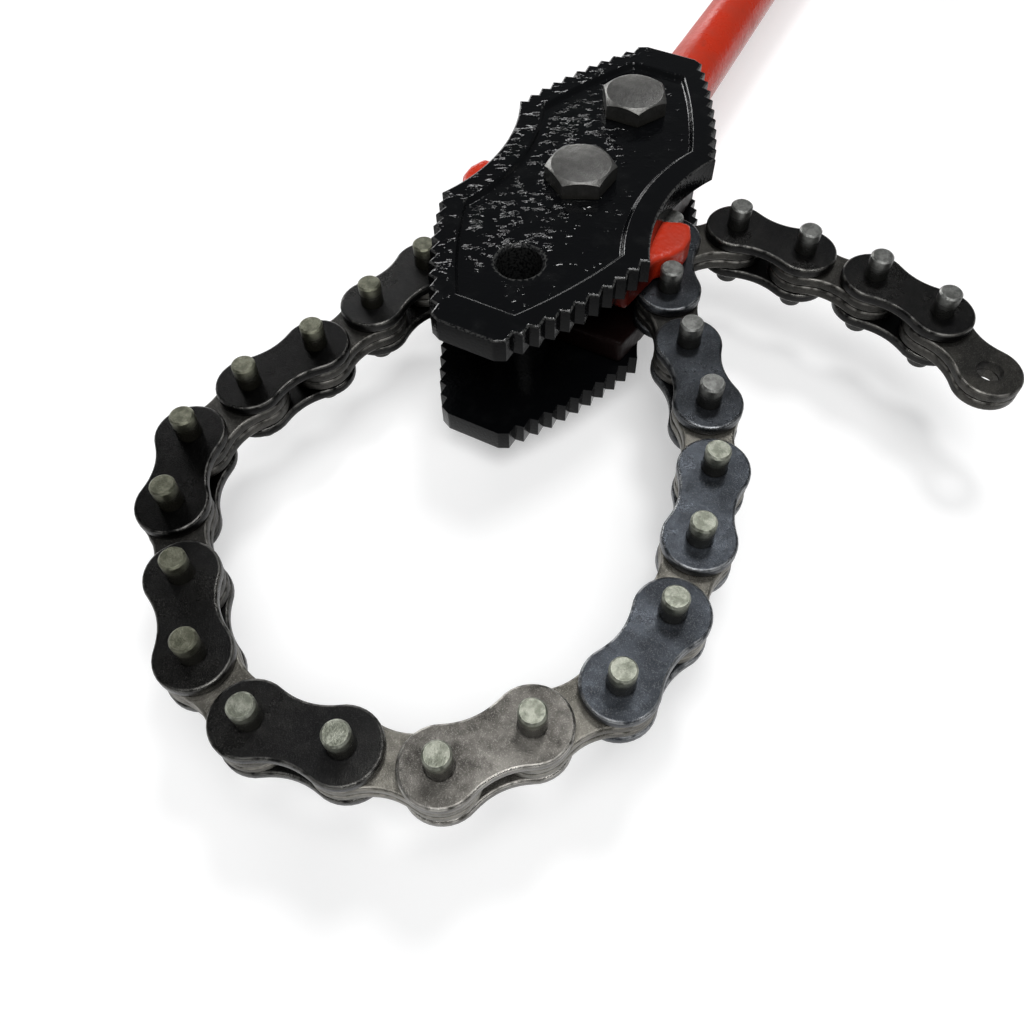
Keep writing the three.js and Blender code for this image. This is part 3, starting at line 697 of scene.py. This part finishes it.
def in_panel(place):
    """True inside the panel's border: nearer to the middle than the toothed edge's inset."""
    gap = edge_radius - (Vector((abs(place.x), abs(place.y), 0)) - edge_centre).length
    return (gap > 0.6 * PANEL_EDGE_INSET
            and abs(place.x) < JAW_HALF_LENGTH - 0.6 * PANEL_NOSE_INSET
            and abs(place.y) < WAIST_HALF_WIDTH - 0.3 * PANEL_EDGE_INSET)


# %% [markdown]
# ### Skin of the jaws
# The panel's floor is lifted into lumps by a noise that is drawn out along one heading, and dies
# out at the wall and the holes. Two attributes go with it: 'lumps' says where the finer bump is
# strong, and 'edge' where the paint is scuffed and highlights are painted in. Upright faces are
# given the duller paint.

# %% Jaw lumps
HOLES = ((-BOLT_SPACING, BOSS_FOOT), (0, JAW_INNER), (BOLT_SPACING, BOSS_FOOT))


def raise_lumps(bm):
    """Lifts the panel's floor into lumps that die out at its wall and at the holes."""
    fixed = kdtree.KDTree(len(bm.verts))
    for vertex in bm.verts:
        if abs(vertex.co.z - PANEL_FLOOR) > WELD:
            fixed.insert(vertex.co, vertex.index)
    fixed.balance()
    rough = bm.verts.layers.float.new("lumps")
    for vertex in bm.verts:
        if abs(vertex.co.z - PANEL_FLOOR) < WELD:
            gap = fixed.find(vertex.co)[2]
            reach = smooth_share(gap, 0.4 * MM, 3.0 * MM)
            vertex[rough] = (0.2 + 0.8 * panel_roughness(vertex.co)) * reach
        elif vertex.co.z > JAW_TOP - WELD:
            vertex[rough] = RIM_LUMPS_SHARE * smooth_share(vertex.co.y, 0, 25 * MM)
    for vertex in bm.verts:
        if vertex[rough] > 0 and vertex.co.z < JAW_TOP - WELD:
            vertex.co.z += LUMP_HEIGHT * vertex[rough] * (lump_at(vertex.co) - 0.35)


def add_boss(bm, x):
    """The boss round an outer hole stands on the jaw's inner side, towards the other jaw."""
    sunk, _ = grown_ring(bm, new_circle(bm, (x, 0, JAW_INNER), BOSS_RADIUS, 48))
    bmesh.ops.translate(bm, verts=sunk, vec=(0, 0, BOSS_FOOT - JAW_INNER))
    fill_level(bm, BOSS_FOOT, Vector((x, 0, 0)), 1.5 * BOSS_RADIUS)


def mark_edges(bm):
    """Marks the holes and the rounded brim, where the paint is scuffed and a highlight is painted
    in.
    """
    edge = bm.verts.layers.float.new("edge")
    for vertex in bm.verts:
        hole_gap = min((vertex.co.xy - Vector((x, 0))).length for x, _ in HOLES)
        on_mouth = abs(hole_gap - HOLE_RADIUS - HOLE_CHAMFER) < 0.05 * MM
        on_wall = abs(hole_gap - HOLE_RADIUS) < 0.05 * MM and vertex.co.z > JAW_INNER + WELD
        on_brim = JAW_TOP - 0.9 * BRIM_ROUNDING < vertex.co.z < JAW_TOP - 0.1 * BRIM_ROUNDING
        if on_mouth:
            vertex[edge] = MOUTH_SCUFF_AND_GLINT
        elif on_brim and not in_panel(vertex.co):
            vertex[edge] = BRIM_SCUFF_AND_GLINT
        elif on_wall:
            vertex[edge] = WALL_SCUFF_AND_GLINT


def mark_sides(bm):
    """Gives the upright faces outside the panel and the holes their own paint."""
    for face in bm.faces:
        middle = face.calc_center_median()
        hole_gap = min((middle.xy - Vector((x, 0))).length for x, _ in HOLES)
        upright = abs(face.normal.z) < 0.5 and hole_gap > BOSS_RADIUS + 1 * MM
        on_panel_wall = in_panel(middle) and middle.z > JAW_INNER + WELD
        face.material_index = 1 if upright and not on_panel_wall else 0


# %% [markdown]
# ### Putting a jaw together
# The plate, its panel and its holes are borders that lie at known heights. Each flat is filled
# between the borders at its height, which leaves no stray faces. The lower jaw is the same
# forging turned over, so it is a turned copy.

# %% Jaw shape
def jaw_shape():
    bm = bmesh.new()
    extruded(bm, toothed_face(bm), JAW_INNER, JAW_TOP - BRIM_ROUNDING)
    rounded_caps(bm, BRIM_ROUNDING, sides=(1,))
    open_cap(bm, 1)
    open_cap(bm, -1)
    add_panel(bm)
    fill_level(bm, JAW_TOP)
    for x, foot in HOLES:
        hole_wall(bm, x, 0, PANEL_FLOOR, foot, HOLE_RADIUS, HOLE_CHAMFER, 48)
    fill_level(bm, PANEL_FLOOR)
    bmesh.ops.recalc_face_normals(bm, faces=bm.faces[:])
    print("jaw before the grid:", len(bm.faces), "faces")
    cut_grid(bm)
    raise_lumps(bm)
    for x in (-BOLT_SPACING, BOLT_SPACING):
        add_boss(bm, x)
    fill_level(bm, JAW_INNER)
    bmesh.ops.recalc_face_normals(bm, faces=bm.faces[:])
    mark_edges(bm)
    mark_sides(bm)
    return bm


jaw = jaw_shape()
print("jaw:", len(jaw.faces), "faces")
turned_over = (Matrix.Translation((0, 0, MIDDLE_Z)) @ Matrix.Rotation(math.pi, 4, "X")
               @ Matrix.Translation((0, 0, -MIDDLE_Z)))
lower = jaw.copy()
bmesh.ops.transform(lower, matrix=turned_over, verts=lower.verts[:])
bmesh.ops.recalc_face_normals(lower, faces=lower.faces[:])
paints = [black_paint, edge_paint]
finish_piece("upper_jaw_forging", jaw, paints, "frame", ["upper_jaw"], 40)
finish_piece("lower_jaw_forging", lower, paints, "frame", ["lower_jaw"], 40)

# %% [markdown]
# ## Bolts and nuts
# Each bolt is a hexagon head with a turned face on a plain shank, and its nut sits under the lower
# jaw. A hexagon is a circle whose points are pulled out to six flats. The chamfer comes from
# letting the pulled-out points drop in step with how far out they went.

# %% Bolt sizes
HEAD_WIDTH = 27 * MM
FACE_RADIUS = 12.8 * MM
CHAMFER_SLOPE = 0.58
HEAD_LOW = 80.3 * MM
SHANK_RADIUS = 9 * MM
SHANK_TOP = 84.3 * MM
SHANK_CHAMFER = 1.2 * MM
FACE_RISE = 0.12 * MM
UNSHADED_DEPTH = 4.5 * MM
BOLT_SHADE_SHARE = 0.4
NUT_BORE = 9.3 * MM
CENTRE_HEAD_TURN = math.radians(-5)
REAR_HEAD_TURN = math.radians(30)


# %% Bolt and nut shapes
def hexagon_radius(angle):
    sixth = math.pi / 3
    return HEAD_WIDTH / 2 / math.cos((angle % sixth) - sixth / 2)


def new_ring(bm, ring, placed):
    """Extrudes a ring of edges and puts each new point where placed(angle, point) says."""
    points, new_edges = grown_ring(bm, ring)
    for vertex in points:
        vertex.co = placed(math.atan2(vertex.co.y, vertex.co.x), vertex.co)
    return new_edges


def hexagon_body(inner_radius, face_z, far_z):
    """A hexagon with a turned face at face_z that ends flat at far_z. It may have a bore."""
    bm = bmesh.new()
    away = math.copysign(1, far_z - face_z)
    start = new_circle(bm, (0, 0, face_z), FACE_RADIUS, 72)

    def pulled(angle, point):
        radius = hexagon_radius(angle)
        drop = max(0.0, radius - FACE_RADIUS) * CHAMFER_SLOPE
        return Vector((radius * math.cos(angle), radius * math.sin(angle), face_z + away * drop))

    ring = new_ring(bm, start, pulled)
    ring = new_ring(bm, ring, lambda angle, point: Vector((point.x, point.y, far_z)))
    if inner_radius:
        ring = new_ring(bm, ring, lambda angle, point: Vector(
            (inner_radius * math.cos(angle), inner_radius * math.sin(angle), far_z)))
        ring = new_ring(bm, ring, lambda angle, point: Vector((point.x, point.y, face_z)))
        bmesh.ops.bridge_loops(bm, edges=ring + start)
    else:
        bmesh.ops.contextual_create(bm, geom=ring)
        bmesh.ops.contextual_create(bm, geom=start)
        side = 1 if face_z > far_z else -1
        inset_cap(bm, side, 0.35 * MM, FACE_RISE)
        inset_cap(bm, side, 0.25 * MM, 0.0)
    bmesh.ops.recalc_face_normals(bm, faces=bm.faces[:])
    set_attribute(bm, "edge", lambda co: 1.0 if abs(co.xy.length - FACE_RADIUS) < 0.1 * MM else 0.0)
    return bm


def bolt(name, node, x, turn):
    low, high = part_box(node)
    bm = hexagon_body(0, high.z - FACE_RISE, HEAD_LOW)
    # Painted shade: the head's side, below the turned top, takes the darker side colour.
    set_attribute(bm, "foot", lambda co: BOLT_SHADE_SHARE if co.z < high.z - UNSHADED_DEPTH else 0.0)
    shank = turned_profile([(0, 0, low.z), (SHANK_RADIUS - SHANK_CHAMFER, 0, low.z),
                            (SHANK_RADIUS, 0, low.z + SHANK_CHAMFER), (SHANK_RADIUS, 0, SHANK_TOP),
                            (0, 0, SHANK_TOP)], Z_AXIS, ORIGIN, 48)
    carried = bpy.data.meshes.new("shank")
    shank.to_mesh(carried)
    shank.free()
    bm.from_mesh(carried)
    bpy.data.meshes.remove(carried)
    bmesh.ops.transform(bm, matrix=Matrix.Translation((x, 0, 0)) @ Matrix.Rotation(turn, 4, "Z"),
                        verts=bm.verts[:])
    return finish_piece(name, bm, [bolt_steel], "frame", [node], 30)


def nut(name, node, x, turn):
    low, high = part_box(node)
    bm = hexagon_body(NUT_BORE, low.z, high.z)
    bmesh.ops.transform(bm, matrix=Matrix.Translation((x, 0, 0)) @ Matrix.Rotation(turn, 4, "Z"),
                        verts=bm.verts[:])
    return finish_piece(name, bm, [bolt_steel], "frame", [node], 30)


bolt("centre_bolt_turned", "centre_bolt", 0, CENTRE_HEAD_TURN)
bolt("rear_bolt_turned", "rear_bolt", BOLT_SPACING, REAR_HEAD_TURN)
nut("centre_nut_turned", "centre_nut", 0, CENTRE_HEAD_TURN)
nut("rear_nut_turned", "rear_nut", BOLT_SPACING, REAR_HEAD_TURN)

# %% [markdown]
# ## Handle
# The head is a forging, so nothing on it is sharp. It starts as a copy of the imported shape, which
# is rebuilt from small cells and then relaxed, and that leaves soft corners like a die leaves.
# The bar is turned round its own line.

# %% Handle head and bar
BAR_NECK_RADIUS = 15.5 * MM
BAR_SHOULDER_X = 250 * MM
BAR_SHOULDER_RADIUS = 14 * MM
BAR_END_RADIUS = 13 * MM
BAR_END_ROUNDING = 4 * MM
HEAD_CELL = 0.9 * MM
HEAD_SMOOTHING = 4
# The painted shade sets in over these ranges: of -|y| at the sides, of -z underneath, and of -x in
# front and at the neck.
SIDE_SHADE = (-41 * MM, -37 * MM)
UNDER_SHADE = (-51 * MM, -45 * MM)
FRONT_SHADE = (20 * MM, 27 * MM)
NECK_SHADE = (-100 * MM, -90 * MM)
FRONT_SHADE_SHARE = 0.85
SHADE_LIMIT_SHARE = 0.8


def softened_copy(node, cell, rounds):
    """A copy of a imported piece, rebuilt from cells and relaxed, as a mesh."""
    bm = bmesh.new()
    bm.from_mesh(frame["nodes"][node].data)
    bmesh.ops.remove_doubles(bm, verts=bm.verts[:], dist=WELD)
    bmesh.ops.recalc_face_normals(bm, faces=bm.faces[:])
    mesh = bpy.data.meshes.new(node + "_cells")
    bm.to_mesh(mesh)
    bm.free()
    holder = bpy.data.objects.new("holder", mesh)
    bpy.context.scene.collection.objects.link(holder)
    rebuild = holder.modifiers.new("cells", "REMESH")
    rebuild.mode = "VOXEL"
    rebuild.voxel_size = cell
    ready = holder.evaluated_get(bpy.context.evaluated_depsgraph_get())
    soft = bpy.data.meshes.new_from_object(ready)
    bpy.data.objects.remove(holder)
    bm = bmesh.new()
    bm.from_mesh(soft)
    bpy.data.meshes.remove(soft)
    for _ in range(rounds):
        bmesh.ops.smooth_vert(bm, verts=bm.verts[:], factor=0.5, use_axis_x=True, use_axis_y=True,
                              use_axis_z=True)
    return bm


head = softened_copy("handle_head", HEAD_CELL, HEAD_SMOOTHING)
print("handle head:", len(head.faces), "faces")


def between_jaws_shade(co):
    """1 where the head lies between the jaws, where its colour is darkened as painted shade, and 0
    outside.
    """
    between = smooth_share(-abs(co.y), *SIDE_SHADE)
    low_down = smooth_share(-co.z, *UNDER_SHADE)
    ahead = FRONT_SHADE_SHARE * smooth_share(-co.x, *FRONT_SHADE)
    return max(between, low_down, ahead) * smooth_share(-co.x, *NECK_SHADE)


# Painted shade: the head's colour darkens between the jaws, under them and in front.
set_attribute(head, "painted_shade", between_jaws_shade)
for face in head.faces:
    face.material_index = 1 if between_jaws_shade(face.calc_center_median()) > SHADE_LIMIT_SHARE else 0
finish_piece("handle_forging", head, [orange_paint, shade_painted_orange], "frame", ["handle_head"],
             80)

bar_low, bar_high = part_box("handle_shank")
rounding_points = [(bar_high.x - BAR_END_ROUNDING * (1 - math.sin(turn)),
                    0, MIDDLE_Z + BAR_END_RADIUS - BAR_END_ROUNDING * (1 - math.cos(turn)))
                   for turn in (math.pi / 2 * step / 6 for step in range(7))]
bar = turned_profile([(bar_low.x, 0, MIDDLE_Z), (bar_low.x, 0, MIDDLE_Z + BAR_NECK_RADIUS),
                      (BAR_SHOULDER_X, 0, MIDDLE_Z + BAR_SHOULDER_RADIUS), *rounding_points,
                      (bar_high.x, 0, MIDDLE_Z)], (1, 0, 0), (0, 0, MIDDLE_Z), 64)
finish_piece("handle_bar", bar, [orange_paint], "frame", ["handle_shank"], 40)

# %% [markdown]
# ## Shackle
# The shackle holds the first link to the centre bolt. It sits between the jaws and shows only in
# the gap. It is a forging too, so it is softened like the handle's head.

# %% Shackle and its pin
shackle = softened_copy("anchor_shackle", 0.6 * MM, 2)
print("shackle:", len(shackle.faces), "faces")
finish_piece("shackle_forging", shackle, [plate_black], "shackle", ["anchor_shackle"],
             80)

# %% [markdown]
# ## Chain
# Odd links are two thin inner plates. Even links are a lower plate with two long pins riveted in
# it, and a cap plate over them. A plate is drawn once and copied to every place, with the place
# in its mesh. Its border is rounded by tumbling, and that is where the bright wear is.

# %% Chain sizes
PITCH = 31.75 * MM
OUTER_END_RADIUS = 13.8 * MM
OUTER_WAIST = 10.5 * MM
INNER_END_RADIUS = 13.4 * MM
INNER_WAIST = 9.8 * MM
END_SWEEP = math.radians(115)
PLATE_ROUNDING = 1.1 * MM
PIN_RADIUS = 4.75 * MM
PIN_CHAMFER = 0.7 * MM
PIN_HOLE = 4.85 * MM
LINK_HOLE = 5.2 * MM
HOLE_EDGE = 0.25 * MM
PIN_SHADE_REACH = 9 * MM


# %% Plate and pin shapes
def plate_face(bm, end_radius, waist_half):
    """A quarter of a link plate, about the plate's middle, mirrored and filled."""
    end = Vector((-PITCH / 2, 0, 0))
    spun_run(bm, end + Vector((-end_radius, 0, 0)), end, -END_SWEEP, 12)
    shoulder = on_circle(end, end_radius, math.pi - END_SWEEP)
    pull = 2 * waist_half - shoulder.y
    previous = nearest(bm, shoulder)
    for step in range(1, 6):
        share = step / 10
        x = (1 - share) ** 2 * shoulder.x - share ** 2 * shoulder.x
        y = ((1 - share) ** 2 + share ** 2) * shoulder.y + 2 * share * (1 - share) * pull
        onward = bm.verts.new((x, y, 0))
        bm.edges.new((previous, onward))
        previous = onward
    return closed_face(bm)


def plate_shape(end_radius, waist_half, low, high, hole_radius):
    bm = bmesh.new()
    border = plate_face(bm, end_radius, waist_half)
    extruded(bm, border, low + PLATE_ROUNDING, high - PLATE_ROUNDING)
    rounded_caps(bm, PLATE_ROUNDING)
    open_cap(bm, 1)
    open_cap(bm, -1)
    for x in (-PITCH / 2, PITCH / 2):
        hole_wall(bm, x, 0, high, low, hole_radius, HOLE_EDGE)
    fill_level(bm, high)
    fill_level(bm, low)
    bmesh.ops.recalc_face_normals(bm, faces=bm.faces[:])
    band = PLATE_ROUNDING * 0.97

    def wear(co):
        depth = min(high - co.z, co.z - low)
        hole_gap = min((co.xy - Vector((x, 0))).length for x in (-PITCH / 2, PITCH / 2))
        near_hole = hole_gap < hole_radius + 1 * MM
        return 1.0 if WELD < depth < band and not near_hole else 0.0

    set_attribute(bm, "edge", wear)
    return bm


def pin_shape(low, high):
    """A turned pin with both ends chamfered, and points along its side for the painted shade to
    fade at.
    """
    grip = low + (high - low) * 0.45
    profile = [(0, low), (PIN_RADIUS - PIN_CHAMFER, low), (PIN_RADIUS, low + PIN_CHAMFER),
               (PIN_RADIUS, grip), (PIN_RADIUS, (grip + high) / 2),
               (PIN_RADIUS, high - 2 * PIN_CHAMFER), (PIN_RADIUS, high - PIN_CHAMFER),
               (PIN_RADIUS - PIN_CHAMFER, high), (PIN_RADIUS - 1.25 * PIN_CHAMFER, high),
               (0, high)]
    bm = turned_profile([(radius, 0, z) for radius, z in profile], Z_AXIS, ORIGIN, 28)
    set_attribute(bm, "edge", lambda co: 1.0 if co.z > high - 1.1 * PIN_CHAMFER
                  and co.xy.length > PIN_RADIUS - 1.1 * PIN_CHAMFER else 0.0)
    set_attribute(bm, "foot", lambda co: smooth_share(high - co.z, 0.5 * PIN_CHAMFER, PIN_SHADE_REACH))
    return bm


# %% Shapes at their heights
def levels(node):
    low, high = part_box(node)
    return low.z, high.z


pin_bottom, pin_top = levels("link_02_pin_plate")
cap_low, cap_high = levels("link_02_cap_plate")
lower_low, lower_high = levels("link_01_lower_plate")
upper_low, upper_high = levels("link_01_upper_plate")
PLATE_THICKNESS = cap_high - cap_low
PLATE_GAP = cap_low - upper_high
plate_bottom = lower_low - PLATE_GAP - PLATE_THICKNESS
shapes = {
    "pin_plate": plate_shape(OUTER_END_RADIUS, OUTER_WAIST, plate_bottom,
                             plate_bottom + PLATE_THICKNESS, PIN_HOLE),
    "cap_plate": plate_shape(OUTER_END_RADIUS, OUTER_WAIST, cap_low, cap_high, PIN_HOLE),
    "lower_plate": plate_shape(INNER_END_RADIUS, INNER_WAIST, lower_low, lower_high, LINK_HOLE),
    "upper_plate": plate_shape(INNER_END_RADIUS, INNER_WAIST, upper_low, upper_high, LINK_HOLE),
    "pin": pin_shape(pin_bottom, pin_top),
}
print("plates:", {name: len(shape.faces) for name, shape in shapes.items()})
heights = (plate_bottom, lower_low, upper_low, cap_low, pin_bottom, pin_top)
print("levels in mm:", [round(z / MM, 3) for z in heights])

# %% [markdown]
# ### A finish for each link
# No two links of a used chain look alike: some kept their black, some are blue or brown from
# heat and rubbing. Links 4 and 6, and the pins of links 2 to 8 and 18 to 24, get darker copies of
# their steel: painted shade. A link that is in none of these tables has black outer plates, pale
# inner plates and bright pins.

# %% Which finish each link has
outer_finish = {**dict.fromkeys((4, 6), plate_black_shaded), 12: plate_brown,
                **dict.fromkeys((14, 16), plate_blue), **dict.fromkeys((18, 20), plate_slate)}
inner_finish = dict.fromkeys((1, 3, 5, 7, 19, 21, 23, 25), inner_dark)
pin_finish = {**dict.fromkeys((2, 4, 6, 8), pin_shaded), **dict.fromkeys((18, 20, 22, 24), pin_grey_shaded)}
print("links with a finish of their own:", sorted({*outer_finish, *inner_finish, *pin_finish}))


def placed_copy(shape, matrix):
    copy = shape.copy()
    bmesh.ops.transform(copy, matrix=matrix, verts=copy.verts[:])
    return copy


# %% Chain links
starts = {joint["child"]: Vector(joint["pos_m"]) for joint in frame["joints"]}
for number in range(1, 26):
    link = f"link_{number:02d}"
    outer = number % 2 == 0
    low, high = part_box(link + ("_cap_plate" if outer else "_upper_plate"))
    start = Vector((starts[link].x, starts[link].y, 0))
    middle = Vector(((low.x + high.x) / 2, (low.y + high.y) / 2, 0))
    heading = math.atan2(middle.y - start.y, middle.x - start.x)
    place = Matrix.Translation(middle) @ Matrix.Rotation(heading, 4, "Z")
    if outer:
        finish = outer_finish.get(number, plate_black)
        for kind in ("pin_plate", "cap_plate"):
            finish_piece(f"{link}_{kind}_stamping", placed_copy(shapes[kind], place), [finish],
                         link, [f"{link}_{kind}"])
        for side, at in (("first", start), ("second", 2 * middle - start)):
            finish_piece(f"{link}_{side}_pin", placed_copy(shapes["pin"], Matrix.Translation(at)),
                         [pin_finish.get(number, pin_steel)], link, [f"{link}_pin_plate"],
                         30)
    else:
        finish = inner_finish.get(number, inner_steel)
        for kind in ("lower_plate", "upper_plate"):
            finish_piece(f"{link}_{kind}_stamping", placed_copy(shapes[kind], place), [finish],
                         link, [f"{link}_{kind}"])
anchor_low, anchor_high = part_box("anchor_pin")
anchor = pin_shape(anchor_low.z, anchor_high.z)
bmesh.ops.translate(anchor, verts=anchor.verts[:], vec=((anchor_low.x + anchor_high.x) / 2,
                                                        (anchor_low.y + anchor_high.y) / 2, 0))
finish_piece("anchor_pin_turned", anchor, [pin_steel], frame["nodes"]["anchor_pin"]["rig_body"],
             ["anchor_pin"], 30)
for shape in shapes.values():
    shape.free()

# %% [markdown]
# ## Floor and light
# The tool is shown on white. The floor is pale paper that glows a little, only towards the camera
# and in reflections, so that it comes out white and still keeps the shadow. A large soft light
# stands overhead behind the camera. A small one above the handle gives the paint its wet strokes,
# and a round one and a strip at the back left draw a line along the rounded edges.

# %% Stage and light
def add_lamp(name, size, place, aim, power):
    data = bpy.data.lights.new(name, "AREA")
    data.shape = "DISK"
    data.size = size
    data.energy = power
    lamp = bpy.data.objects.new(name, data)
    lamp.location = place
    lamp.rotation_euler = (Vector(aim) - Vector(place)).to_track_quat("-Z", "Y").to_euler()
    bpy.context.scene.collection.objects.link(lamp)
    return lamp


LOOP_MIDDLE, JAW_MIDDLE = (-0.1, -0.05, 0), (0, 0, 0.05)
add_lamp("overhead", size=1.2, place=(-0.5, -0.35, 1.5), aim=LOOP_MIDDLE, power=17)
add_lamp("sheen", size=0.36, place=(0.56, 0.05, 1.5), aim=LOOP_MIDDLE, power=8)
add_lamp("back_left", size=0.5, place=(0.68, 1.3, 0.72), aim=JAW_MIDDLE, power=6)
back_strip = add_lamp("back_strip", size=1.2, place=(1.15, 1.05, 0.42), aim=JAW_MIDDLE, power=5)
back_strip.data.shape = "RECTANGLE"
back_strip.data.size_y = 0.3
world = bpy.data.worlds.new("studio")
world.use_nodes = True
world.node_tree.nodes["Background"].inputs["Color"].default_value = (0.93, 0.97, 1.0, 1)
world.node_tree.nodes["Background"].inputs["Strength"].default_value = 0.1
bpy.context.scene.world = world

floor_bm = bmesh.new()
bmesh.ops.create_grid(floor_bm, x_segments=8, y_segments=8, size=20.0)
floor_mesh = bpy.data.meshes.new("floor")
floor_bm.to_mesh(floor_mesh)
floor_bm.free()
floor = bpy.data.objects.new("floor", floor_mesh)
bpy.context.scene.collection.objects.link(floor)
floor_paper, tree, shader = new_material("floor_paper")
paper_tone = use_group(tree, patches, Size=3.0, Low=0.3, High=0.7).outputs["Mask"]
tree.links.new(blend_colour(tree, paper_tone, (0.64, 0.64, 0.64, 1), (0.66, 0.66, 0.66, 1)),
               shader.inputs["Base Color"])
shader.inputs["Roughness"].default_value = 0.95
shader.inputs["Emission Color"].default_value = (1, 1, 1, 1)
rays = tree.nodes.new("ShaderNodeLightPath")
seen = math_node(tree, "MAXIMUM", rays.outputs["Is Camera Ray"], rays.outputs["Is Glossy Ray"])
seen = math_node(tree, "MAXIMUM", seen, rays.outputs["Is Transmission Ray"])
spread = add_node(tree, "ShaderNodeVectorMath", {"operation": "LENGTH"})
tree.links.new(place_of(tree), spread.inputs[0])
NEAR_GLOW, NEAR_REACH, FAR_REACH = 0.43, 0.9, 3.0
glow = remap(tree, spread.outputs["Value"], NEAR_REACH, FAR_REACH, NEAR_GLOW, 1.0)
tree.links.new(math_node(tree, "MULTIPLY", seen, glow), shader.inputs["Emission Strength"])
floor_mesh.materials.append(floor_paper)
print("lamps:", [lamp.name for lamp in bpy.data.lights])
